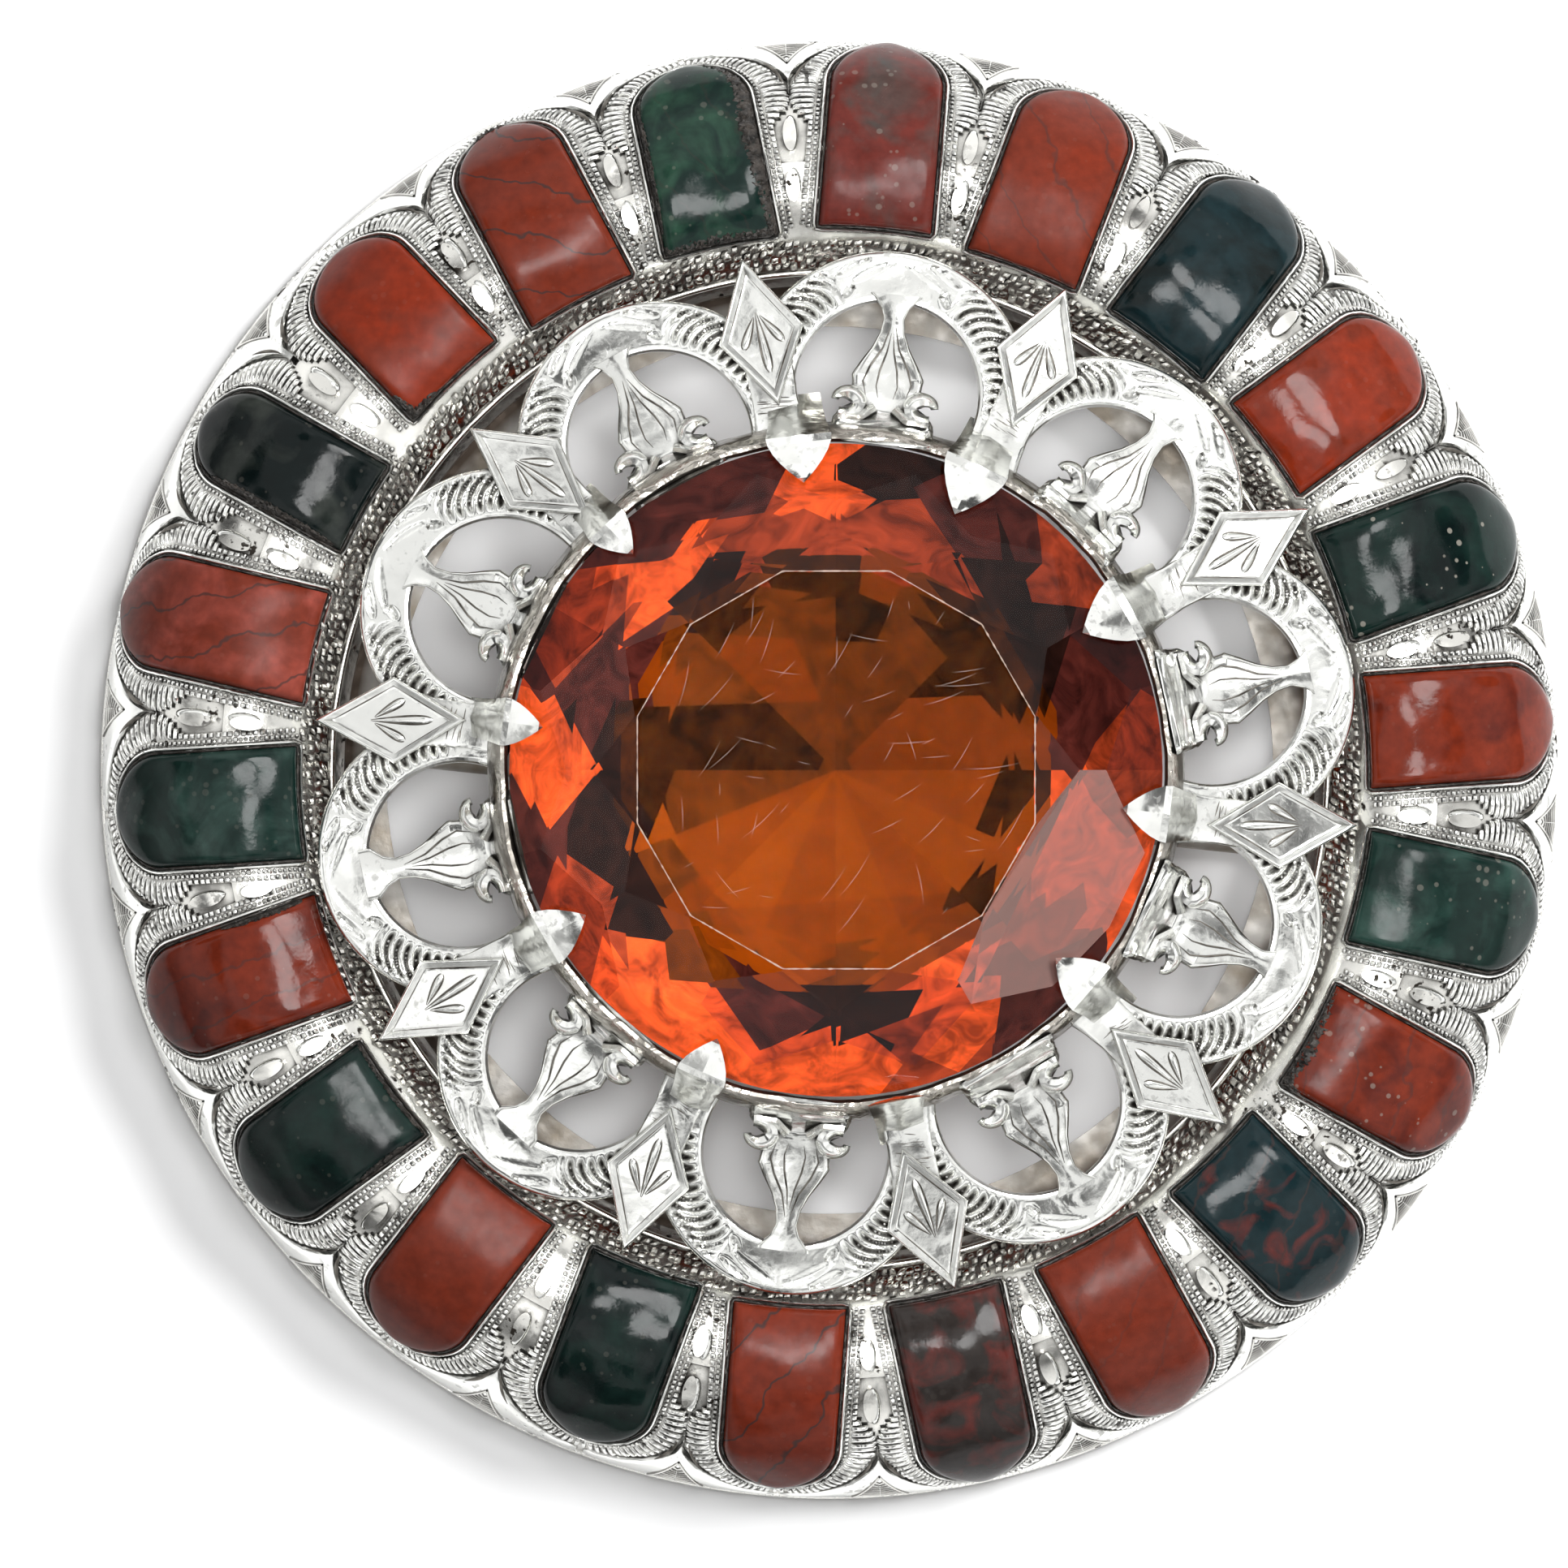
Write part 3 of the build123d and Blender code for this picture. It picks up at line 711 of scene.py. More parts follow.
def pillows(centres, along, across, height, base, to_surface):
    """Small rounded ridges at plan points; along and across are their half axes."""
    share, swell = both_sides([(-1.0, 0.0), (-0.72, 0.72), (0.0, 1.0)]).T
    p, q = np.meshgrid(share, share, indexing="ij")
    spread = p[..., None] * along[:, None, None] + q[..., None] * across[:, None, None]
    lift = base + np.outer(swell, swell)[None] * np.asarray(height).reshape(-1, 1, 1)
    return to_surface(centres[:, None, None] + spread, lift)


def tapered(path, half_width, height, base, to_surface):
    """A rounded ridge along a path, as wide and high as the numbers at each point say."""
    share, swell = both_sides([(-1.0, 0.0), (-0.7, 0.7), (0.0, 1.0)]).T
    return to_surface(beside(path, share * half_width[:, None]), base + height[:, None] * swell)


def even_ridge(ends, pitch, half_width, height, base, to_surface):
    """A straight rounded ridge of even width and height."""
    line = resample(np.array(ends), pitch)
    full = np.ones(len(line))
    return tapered(line, half_width * full, height * full, base, to_surface)


def engrave(shape, path, half_width, base, to_surface):
    """A dark line along a path, widest in its middle."""
    line = resample(np.asarray(path, float), engraving_pitch)
    half = half_width * np.sin(pi * np.linspace(0.06, 0.94, len(line)))
    shape.add_grid(tapered(line, half, 0.25 * half, base, to_surface))


engraving_pitch = 0.12
outline_pitch = 0.18
milling_foot = -0.02
least_ridge = 0.08
ridge_share = 0.42
# Sections of the cement and the lip, outwards: a share of the width, and the cement's lift or
# the lip's share of its height
cement_section = np.array([(-0.3, -0.2), (0.35, 0.06), (0.75, 0.07), (1.15, -0.05)])
lip_section = np.array([(-0.5, -0.1), (-0.42, 0.7), (-0.2, 1.0), (0.1, 0.85), (0.4, 0.4), (0.5, -0.1)])
lips, cements, milling = Shape(), Shape(), Shape()


def add_cement(index, rng):
    """Cement in the narrow joint round a stone."""
    closed = closed_outline(stone_paths[index], outline_pitch)
    share, lift = cement_section.T
    wobble = rng.normal(0, 0.025, (len(closed), len(share)))
    plan = beside(closed, share * cement_width + 0.4 * wobble, closed=True)
    cements.add_grid(in_chart(stone_angle(index))(plan, lift + wobble), wrap_rows=True)


def add_lip(index, rng):
    """The plain lip round a stone's joint."""
    closed = closed_outline(stone_paths[index], outline_pitch)
    share, rise = lip_section.T
    uneven = rng.normal(0, 0.012, (len(closed), 1))
    plan = beside(closed, share * lip_width + cement_width + lip_width / 2, closed=True)
    lips.add_grid(in_chart(stone_angle(index))(plan, rise * lip_height + uneven), wrap_rows=True)


def add_beads(index, rng):
    """A row of beads along a stone's lip."""
    path = stone_paths[index]
    row = resample(path + bead_row * normals_of(path), bead_pitch)
    side = normals_of(row)
    tangent = np.stack([side[:, 1], -side[:, 0]], 1)
    half = bead_size / 2 * rng.uniform(0.8, 1.15, (len(row), 1))
    height = rng.uniform(0.14, 0.24, len(row))
    beads = pillows(row, tangent * half, side * half, height, milling_foot, in_chart(stone_angle(index)))
    milling.add_grids(beads)


def add_ridges(index, rng):
    """A row of ridges outside the beads, long round the stone's outer end."""
    path = stone_paths[index]
    inner = path + ridge_start * normals_of(path)
    outer = path + band_reach(index, path)[:, None] * normals_of(path)
    wanted = np.arange(ridge_pitch / 2, lengths_along(inner)[-1], ridge_pitch)
    wanted = wanted + rng.normal(0, 0.02, len(wanted))
    foot, tip = at_lengths(inner, inner, wanted), at_lengths(outer, inner, wanted)
    half = (tip - foot) / 2
    reach = np.hypot(*half.T)
    keep = reach > least_ridge
    middle, half, reach = ((foot + tip) / 2)[keep], half[keep], reach[keep, None]
    sideways = np.stack([-half[:, 1], half[:, 0]], 1) / reach * ridge_pitch * ridge_share
    height = ridge_height * rng.uniform(0.75, 1.15, len(middle))
    milling.add_grids(pillows(middle, sideways, half, height, milling_foot, in_chart(stone_angle(index))))


for index in range(stone_count):
    rng = np.random.default_rng(100 + index)
    for add_work in (add_cement, add_lip, add_beads, add_ridges):
        add_work(index, rng)

# Rough cement that fills wide joints. Its run is given in shares of the outline, from the inner
# corner anticlockwise of the stone: the far side ends at 0.27, the round end at 0.53 and the
# near side at 0.8
Filling = namedtuple("Filling", "stone start stop width")
fillings = [
    Filling(0, 0.40, 0.84, 1.0),
    Filling(0, 0.78, 1.02, 0.75),
    Filling(0, 0.04, 0.3, 0.35),
    Filling(8, 0.78, 1.0, 0.9),
    Filling(15, 0.80, 1.0, 0.4),
    Filling(16, 0.66, 0.80, 0.35),
    Filling(15, 0.03, 0.14, 0.35),
    Filling(19, 0.02, 0.28, 0.5),
    Filling(20, 0.92, 1.06, 0.6),
    Filling(21, 0.36, 0.44, 0.7),
]
filling_pitch = 0.1
filling_points = 9


def fill_joint(filling):
    """A lumpy run of cement, widest in its middle."""
    rng = np.random.default_rng(150 + filling.stone)
    closed = closed_outline(stone_paths[filling.stone], filling_pitch)
    side = normals_of(closed, closed=True)
    count = len(closed)
    chosen = np.arange(int(filling.start * count), int(filling.stop * count)) % count
    fade = np.sin(pi * np.linspace(0.04, 0.96, len(chosen)))[:, None] ** 0.35
    reach = filling.width * fade * rng.uniform(0.8, 1.1, (len(chosen), 1))
    away = np.linspace(0.1, -1.0, filling_points) * reach
    swell = 0.12 + 0.34 * np.sin(pi * np.linspace(0.0, 1.0, filling_points))
    lump = swell + rng.normal(0, 0.07, (len(chosen), filling_points))
    plan = closed[chosen][:, None] + side[chosen][:, None] * away[..., None]
    cements.add_grid(in_chart(stone_angle(filling.stone))(plan, lump * fade))


for filling in fillings:
    fill_joint(filling)
lips.make("stone_lips", silvers["ring_silver"], "silver")
cements.make("cement_joints", cement_material, "silver_back")
milling.make("milled_bands", silvers["milled_silver"], "silver")

# Two polished ovals on each web, one behind the other
Oval = namedtuple("Oval", "radius long_half wide_half rise")
oval_rows = [Oval(33.1, 1.0, 0.36, 0.3), Oval(30.45, 0.92, 0.36, 0.3)]
# Rings of an oval's face, inwards: a share of its outline and a share of its rise
oval_rings = np.array([(1.0, 0.0), (0.9, 0.35), (0.65, 0.75), (0.35, 0.95), (0.08, 1.0)])
oval_foot = -0.1
ovals = Shape()
turn = full_turn(24)
ring_share, ring_rise = oval_rings.T
for index in range(stone_count):
    rng = np.random.default_rng(200 + index)
    to_surface = in_chart(web_angle(index))
    for oval in oval_rows:
        centre = np.array([rng.normal(0, 0.04), arc_at(oval.radius) + rng.normal(0, 0.08)])
        outline = np.stack([oval.wide_half * np.cos(turn), oval.long_half * np.sin(turn)], 1)
        plan = centre + ring_share[:, None, None] * outline[None]
        points = to_surface(plan, (ring_rise * oval.rise + oval_foot)[:, None])
        ovals.add_grid(points, wrap_columns=True)
        ovals.add_faces(points[-1], [list(range(len(turn)))])
ovals.make("polished_ovals", silvers["ring_silver"], "silver", weld=True)

# Spandrels: polished gothic plates between the outer ends of the stones
apex_arc = float(arc_at(35.05))
rim_arc = 1.02
# Section of a plate: a share of its half width, and its lift
plate_section = both_sides([(-1.0, -0.15), (-0.985, 0.08), (-0.9, 0.16), (-0.6, 0.17), (-0.25, 0.15)])
# Room between a plate and the band, at shares of the way from the apex to the rim
plate_margins = [(0, 0.0), (0.12, 0.16), (0.3, 0.2), (0.6, 0.08), (1.0, 0.02)]
band_margin = 0.04
least_half = 0.02
point_rows = np.linspace(apex_arc, apex_arc - 1.2, 12)
levels = np.concatenate([point_rows, np.linspace(apex_arc - 1.4, rim_arc, 18)])
spandrels, hatching, crescents = Shape(), Shape(), Shape()


def band_edge(stone, side, middle_angle):
    """Angle from the web's middle to the edge of a stone's milled band, at each level."""
    path = stone_paths[stone]
    outer = path + (band_reach(stone, path) + band_margin)[:, None] * normals_of(path)
    outer = outer[outer[:, 0] * side > 0]
    angle = stone_angle(stone) + outer[:, 0] / dome_plan_radius(outer[:, 1])
    order = np.argsort(outer[:, 1])
    return np.interp(levels, outer[order, 1], short_turn(angle - middle_angle)[order])


def add_plate(index):
    """The polished plate on a web."""
    middle_angle = web_angle(index)
    radius = dome_plan_radius(levels)
    margin = np.interp((apex_arc - levels) / (apex_arc - rim_arc), *zip(*plate_margins))
    left = np.maximum(band_edge(index, -1, middle_angle) * radius - margin, least_half)
    following = (index + 1) % stone_count
    right = np.minimum(band_edge(following, 1, middle_angle) * radius + margin, -least_half)
    middle, half = (left + right) / 2, (left - right) / 2
    share, lift = plate_section.T
    plan = plan_grid(middle[:, None] + half[:, None] * share, levels[:, None])
    spandrels.add_grid(in_chart(middle_angle)(plan, lift[None]))


# Rim triangles: two legs from a peak to the rim, with slanting bars between them
peak_arc = 4.0
foot_arc = rim_arc + 0.1
foot_half = 1.45
bar_pitch = 0.3
bar_tilt = 0.12
plate_top = 0.14


def add_triangle(index):
    """The hatched triangle on a plate."""
    to_surface = in_chart(web_angle(index))
    for side in (-1, 1):
        leg = [[0.0, peak_arc], [side * foot_half, foot_arc]]
        hatching.add_grid(even_ridge(leg, 0.3, 0.07, 0.10, plate_top, to_surface))
        for arc in np.arange(foot_arc + 0.2, peak_arc - 0.5, bar_pitch):
            reach = 0.85 * foot_half * (peak_arc - arc) / (peak_arc - foot_arc)
            bar = [[side * 0.03, arc - bar_tilt], [side * reach, arc + bar_tilt]]
            hatching.add_grid(even_ridge(bar, 0.25, 0.055, 0.07, plate_top, to_surface))


rng = np.random.default_rng(250)
run = np.linspace(0, 1, 12)
crescent = np.stack([0.32 + 0.95 * run**1.6, apex_arc - 0.75 - 1.9 * run], 1)
for index in range(stone_count):
    add_plate(index)
    add_triangle(index)
    for side in (-1, 1):
        line = crescent * np.array([side, 1])
        engrave(crescents, line, 0.10 * rng.uniform(0.5, 1.3), 0.165, in_chart(web_angle(index)))
spandrels.make("spandrels", silvers["ring_silver"], "silver")
hatching.make("rim_triangles", silvers["hatched_silver"], "silver")
crescents.make("spandrel_crescents", engraved, "silver")

# Rope edge: a torus whose section swells along slanting strands
strands = 660
strand_turns = 3
turn = full_turn(4 * strands)[:, None]
section = full_turn(12)[None]
wire = 0.49 * rope_wire * (1 + 0.07 * np.cos(strands * turn + strand_turns * section))
radius = rim_radius - rope_wire / 2 + wire * np.cos(section)
height = rope_height + wire * np.sin(section)
rope_grid = np.stack([radius * np.cos(turn), radius * np.sin(turn), height], -1)
rope = Shape()
rope.add_grid(rope_grid, wrap_rows=True, wrap_columns=True)
rope.make("rope_edge", silvers["milled_silver"], "silver", outward=True)

# Granulated inner band in four rows of brick-like grains
grain_arcs = (14.62, 15.07, 15.52, 15.97)
grain_pitch = 0.46
grain_long, grain_thin = 0.2, 0.03
grain_groups = 24
grains = Shape()
rng = np.random.default_rng(5)
for row, arc in enumerate(grain_arcs):
    radius = float(dome_plan_radius(arc))
    count = int(tau * radius / grain_pitch)
    angles = (np.arange(count) + 0.5 * (row % 2) + rng.normal(0, 0.13, count)) * tau / count
    for group in np.array_split(angles, grain_groups):
        centres = np.stack([(group - group[0]) * radius, arc + rng.normal(0, 0.06, len(group))], 1)
        size = rng.uniform(0.7, 1.2, (len(group), 1))
        height = rng.uniform(0.10, 0.32, len(group))
        skew = rng.normal(0, 0.05, (len(group), 1)) * np.array([[1.0, 0.0]])
        along = np.array([[grain_long, grain_thin]]) * size
        across = np.array([[grain_thin, grain_long]]) * size + skew
        grains.add_grids(pillows(centres, along, across, height, -0.03, in_chart(group[0])))
grains.make("inner_granulation", silvers["grain_silver"], "silver")

# Plain ledge inside the granulated band
ledge_arc = 16.5
ledge_half = 0.2
turn = full_turn(360)[:, None]
section = np.linspace(-0.3, pi + 0.3, 8)[None]
ledge_grid = dome_points(turn, ledge_arc + ledge_half * np.cos(section), ledge_half * np.sin(section))
ledge = Shape()
ledge.add_grid(ledge_grid, wrap_rows=True)
ledge.make("inner_ledge", silvers["grain_silver"], "silver")

# Agates

# Lift of an agate's face at a distance in from its outline
ease_table = [
    (0.0, 0.0), (0.03, 0.1), (0.08, 0.18), (0.16, 0.25), (0.28, 0.305), (0.45, 0.335), (0.8, 0.35),
]
crown_across = 0.08
wave_height = 0.035
wave_lengths = (7.0, 5.0, 3.6, 2.6)
wall_depth = 0.9
face_rows = 60
face_columns = 33
stone_slots = {part["node"]: part["material_slot"] for part in frame["record"]["subparts"]}


def face_plan(path):
    """Chart places over a stone's face, and the share across it of each column."""
    across, arcs = path.T
    side = across > 0
    order = np.argsort(arcs[side])
    inner_arc, outer_arc = arcs.max(), arcs.min()
    turn = np.linspace(0, pi, face_rows)
    rows = (inner_arc + outer_arc) / 2 + (inner_arc - outer_arc) / 2 * np.cos(turn)
    half = np.interp(rows, arcs[side][order], across[side][order])
    half[0], half[-1] = half[1], 0.0
    share = np.sin(np.linspace(-pi / 2, pi / 2, face_columns))
    return plan_grid(half[:, None] * share, rows[:, None]), share


def edge_distance(plan, path):
    """Distance of plan points from a closed outline."""
    fine = resample(np.concatenate([path, path[:1]]), 0.05)
    apart = plan[..., None, :] - fine
    return np.hypot(apart[..., 0], apart[..., 1]).min(axis=-1)


def face_lift(index, plan, share):
    """Lift of a stone's face: its eased edge, its rise across and its hand-cut waves."""
    inset = edge_distance(plan, stone_paths[index])
    lift = np.interp(inset, *zip(*ease_table)) + crown_across * (1 - share**2) * (inset > 0)
    rng = np.random.default_rng(700 + index)
    swell = np.interp(inset, [0, 0.9], [0, 1]) * wave_height
    for length in wave_lengths:
        lean, phase = rng.uniform(0, tau), rng.uniform(0, tau)
        wave = plan[..., 0] * cos(lean) + plan[..., 1] * sin(lean)
        lift = lift + swell * length / 6.0 * np.cos(tau * wave / length + phase)
    return lift


for index in range(stone_count):
    to_surface = in_chart(stone_angle(index))
    plan, share = face_plan(stone_paths[index])
    border = np.concatenate([plan[:, 0], plan[::-1, -1], plan[0, ::-1]])
    shape = Shape()
    shape.add_grid(to_surface(plan, face_lift(index, plan, share)))
    shape.add_grid(to_surface(border[None], np.array([[0.0], [-wall_depth]])))
    slot = stone_slots[f"agate_{index + 1:02d}"]
    piece = shape.make(f"stone_{index + 1:02d}", agate_materials[index], slot, sharp=60.0, weld=True)
    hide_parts(f"agate_{index + 1:02d}")

# Gallery


def lobe_angle(index):
    return radians(first_lobe_angle - index * lobe_pitch + lobes[index].turn)


def kite_angle(index):
    return radians(first_kite_angle - index * lobe_pitch + kites[index].turn)


def strut_angle(index):
    return kite_angle(index) - radians(0.25 * kites[index].lean)


def lobe_plan(index, angle, share):
    """Plan places of a lobe's own polar places: an angle in radians and a share across."""
    radius = hole_radius + share * (lobe_radius - hole_radius)
    centre = lobe_centre + lobes[index].reach * lobe_radius
    return turned(plan_grid(centre + radius * np.cos(angle), radius * np.sin(angle)), lobe_angle(index))


def inside_sector(plan, low, high, floor_radius):
    """Plan points held between two angles in radians and outside a radius."""
    radius = np.hypot(plan[..., 0], plan[..., 1])
    middle = mean_turn(low, high)
    apart = short_turn(np.arctan2(plan[..., 1], plan[..., 0]) - middle)
    reach = abs(short_turn(high - low)) / 2
    angle = middle + np.clip(apart, -reach, reach)
    radius = np.maximum(radius, floor_radius)
    return np.stack([radius * np.cos(angle), radius * np.sin(angle)], axis=-1)


# Lobes: their flutes lie between two turns, in degrees off the lobe's middle
flute_pitch = 5.6
flute_depth = 0.36
flute_start, flute_stop = 30.0, 92.0
flute_ease = 8
lobe_stop = 128
lobe_inner_radius = 17.2
lobe_edges = [(0, -0.28), (0.05, -0.03), (0.12, 0.04), (0.9, 0.04), (0.96, -0.03), (1.0, -0.28)]
# Under side of a lobe: its share across and its lift
lobe_under = np.array([(1.0, -0.95), (0.97, -1.08), (0.5, -1.08), (0.03, -1.08), (0.0, -0.95)])
# Strokes of the leaf spray: turn off the lobe's middle where each starts and stops, its shares
# across the lobe there, and its depth
Stroke = namedtuple("Stroke", "start stop low high depth")
leaf_strokes = [
    Stroke(2.0, 26.0, 0.78, 0.46, 0.10),
    Stroke(12.0, 30.0, 0.88, 0.70, 0.14),
    Stroke(22.0, 31.0, 0.40, 0.26, 0.20),
]


def flutes(turn, share, rng):
    """Feathered flutes at both ends of a lobe."""
    bow = 13.0 * (1 - share) + 6.0 * np.sin(pi * share)
    groove = np.abs(np.sin(pi * (turn + bow + rng.uniform(-1.5, 1.5)) / flute_pitch)) - 1.0
    limits = [flute_start, flute_start + flute_ease, flute_stop, flute_stop + flute_ease]
    within = np.interp(turn, limits, [0, 1, 1, 0])
    across = np.interp(share, [0.14, 0.3, 0.82, 0.92], [0, 1, 1, 0])
    return flute_depth * groove * within * across


def stroke_cut(stroke, turn, share):
    """Depth of one stroke of the leaf spray, widest in its middle."""
    run = np.clip((turn - stroke.start) / (stroke.stop - stroke.start), 0, 1)
    half = 0.11 * np.sin(pi * np.clip(run, 0.02, 0.98))
    off = (share - (stroke.low + (stroke.high - stroke.low) * run)) / half
    inside = (turn > stroke.start) & (turn < stroke.stop)
    return stroke.depth * np.clip(1 - np.abs(off), 0, 1) * inside


def lobe_relief(turn, share, rng):
    """Lift of a lobe's face: rounded edges, flutes at both ends, a dish and a leaf spray."""
    edge = np.interp(share, *zip(*lobe_edges))
    dish = -0.12 * np.interp(turn, [0, flute_start], [1, 0.3]) * np.sin(pi * np.clip(share, 0, 1))
    spray = sum(stroke_cut(stroke, turn, share) for stroke in leaf_strokes)
    return edge + flutes(turn, share, rng) + dish - spray


lobe_shape = Shape()
turns = np.linspace(-lobe_stop, lobe_stop, 301)[:, None]
face_share = np.concatenate([[0, 0.02, 0.05, 0.09], np.linspace(0.12, 0.9, 19), [0.93, 0.96, 0.98, 1.0]])
under_share, under_lift = lobe_under.T
for index in range(len(lobes)):
    relief = lobe_relief(np.abs(turns), face_share[None], np.random.default_rng(400 + index))
    under = np.broadcast_to(under_lift, (len(turns), len(lobe_under)))
    plan = lobe_plan(index, np.radians(turns), np.concatenate([face_share, under_share])[None])
    low, high = kite_angle(index), kite_angle((index + 1) % len(kites))
    plan = inside_sector(plan, low, high, lobe_inner_radius)
    lobe_shape.add_grid(on_gallery(plan, np.concatenate([relief, under], axis=1)), wrap_columns=True)
lobe_shape.make("gallery_lobes", silvers["gallery_silver"], "silver", outward=True, weld=True)

# Kites: bordered plates on the sheet, each with three petals
shoulder = kite_width / 2
corners = np.array([(0, 0), (-kite_shoulder, shoulder), (-kite_length, 0), (-kite_shoulder, -shoulder)])
kite_sides = list(zip(corners, np.roll(corners, -1, axis=0)))
kite_outline = np.concatenate([np.linspace(*ends, 13)[:-1] for ends in kite_sides])
kite_middle = np.array([-4.05, 0.0])
# The outline scaled to its middle, and its lift there: an edge, a border, a bevel and a flat
kite_border = [
    (1.0, -1.05), (1.0, 0.30), (0.985, 0.40), (0.96, 0.45), (0.92, 0.45), (0.905, 0.43), (0.80, 0.20),
]
flat_lift = 0.18
kite_rings = kite_border + [(scale, flat_lift) for scale in (0.78, 0.7, 0.6, 0.5, 0.4, 0.3, 0.2, 0.1)]
line_scale = 0.79
line_lift = 0.19
petal_foot = 0.13
Petal = namedtuple("Petal", "x y lean length half")
petals = [
    Petal(-2.9, 0.0, 180.0, 3.2, 0.30),
    Petal(-3.1, 0.16, 150.0, 1.8, 0.27),
    Petal(-3.1, -0.16, -150.0, 1.8, 0.27),
]
kite_shape, leaves, cuts = Shape(), Shape(), Shape()


def on_kite(index):
    """A function that lifts points drawn on a kite, along +X from its root to its outer tip."""
    reach = gallery_reach + kites[index].reach * kite_length
    lean = radians(kites[index].lean)

    def to_surface(plan, lift):
        return on_gallery(turned(turned(plan, lean) + np.array([reach, 0.0]), kite_angle(index)), lift)

    return to_surface


def add_kite_plate(to_surface):
    scale, lift = np.array(kite_rings).T
    plan = kite_middle + scale[:, None, None] * (kite_outline - kite_middle)[None]
    points = to_surface(plan, lift[:, None])
    kite_shape.add_grid(points, wrap_columns=True)
    for end in (-1, 0):
        kite_shape.add_faces(points[end], [list(range(len(kite_outline)))])


def add_petal(petal, to_surface):
    """A raised petal with an engraved line on each side."""
    run = np.linspace(0, 1, 14)
    way = np.array([[cos(radians(petal.lean)), sin(radians(petal.lean))]])
    line = run[:, None] * way * petal.length + np.array([[petal.x, petal.y]])
    half = petal.half * (0.08 + run**0.9 * np.sqrt(1 - 0.97 * run**5))
    leaves.add_grid(tapered(line, half, 0.85 * half, petal_foot, to_surface))
    for side in (-1, 1):
        engrave(cuts, line + side * normals_of(line) * half[:, None], 0.055, line_lift, to_surface)


rng = np.random.default_rng(450)
for index in range(len(kites)):
    to_surface = on_kite(index)
    add_kite_plate(to_surface)
    for petal in petals:
        add_petal(petal, to_surface)
    for ends in kite_sides:
        line = kite_middle + line_scale * (np.array(ends) - kite_middle)
        engrave(cuts, line, rng.uniform(0.02, 0.07), line_lift, to_surface)
kite_shape.make("kites", silvers["gallery_silver"], "silver", outward=True, weld=True)
leaves.make("kite_leaves", silvers["gallery_silver"], "silver")

# Struts: flat bars with rounded edges, which carry the kites out from the collar
# Section of a strut: a share of its half width, and its lift
strut_section = both_sides([(-1.0, -1.0), (-1.0, -0.05), (-0.93, 0.08), (-0.8, 0.12), (0.0, 0.14)])
strut_start = 17.3
strut_stop = gallery_reach - 0.62 * kite_length
# Half width of a strut at each radius
strut_halves = [(17.3, 1.5), (18.3, 1.3), (19.5, 1.2), (21.5, 1.3), (23.0, 1.55)]
scratches_each = 16


def add_scratch(rng, to_surface):
    """A scratch across a strut, at a random place."""
    place = rng.uniform(18.9, 20.9)
    sweep = rng.uniform(0.3, 1.0)
    start = rng.uniform(-1.0, 1.0 - sweep)
    ends = np.array([[place, start], [place + rng.normal(0.1, 0.06), start + sweep]])
    engrave(cuts, ends, rng.uniform(0.012, 0.03), 0.14, to_surface)


strut_shape = Shape()
radius = np.linspace(strut_start, strut_stop, 24)[:, None]
half = np.interp(radius, *zip(*strut_halves))
share, lift = strut_section.T
for index in range(len(kites)):
    to_surface = on_gallery_turned(strut_angle(index))
    strut_shape.add_grid(to_surface(plan_grid(radius, half * share), lift[None]), wrap_columns=True)
    for _ in range(scratches_each):
        add_scratch(rng, to_surface)
strut_shape.make("struts", silvers["gallery_silver"], "silver", outward=True)

# Tulips: flowers between the collar and the lobes
# Half width of a tulip at each radius
tulip_halves = [
    (16.95, 2.75), (18.2, 2.6), (18.7, 2.25), (19.1, 1.6), (19.5, 1.55), (19.9, 1.8), (20.5, 1.88),
    (21.2, 1.5), (22.0, 1.0), (22.8, 0.66), (23.6, 0.55), (24.2, 0.8), (24.8, 1.4),
]
tulip_start, tulip_stop = 16.95, 24.8
# Section of a tulip's face, and then its under side, as a strut's
tulip_face = both_sides([
    (-1.0, -1.0), (-1.0, -0.15), (-0.97, -0.02), (-0.93, 0.08), (-0.88, 0.10), (-0.82, 0.02),
    (-0.5, 0.06), (-0.2, 0.08), (0.0, 0.09),
])
tulip_section = np.concatenate([tulip_face, [(0.0, -1.05)]])
# How far the bracket behind a tulip climbs to the collar, at each radius
bracket_climb = [(16.95, 1.85), (17.2, 1.8), (17.6, 1.2), (18.2, 0.5), (18.8, 0.0)]
tulip_lines = [
    [(23.2, 0.12), (22.0, 0.42), (21.0, 0.98), (20.2, 1.25), (19.5, 1.05)],
    [(22.8, 0.05), (21.8, 0.18), (20.8, 0.45), (20.0, 0.55), (19.4, 0.4)],
]
scroll_section = both_sides([(-1, -0.6), (-1, 0.4), (-0.75, 0.75), (0.0, 0.95)])
# Half width of a scroll, at shares of its length
scroll_halves = [(0, 0.26), (0.3, 0.34), (0.8, 0.42), (1.0, 0.2)]


def tulip_grid(index, rng, to_surface):
    """A tulip's surface, rough where it meets the collar."""
    radius = np.linspace(tulip_start, tulip_stop + lobes[index].reach * lobe_radius, 64)[:, None]
    half = np.interp(radius, *zip(*tulip_halves))
    climb = np.interp(radius, *zip(*bracket_climb))
    share, lift = tulip_section.T
    rough = 0.07 * rng.normal(0, 1, (len(radius), len(share))) * np.interp(radius, [18.6, 19.2], [1, 0])
    return to_surface(plan_grid(radius, half * share), lift + climb + rough)


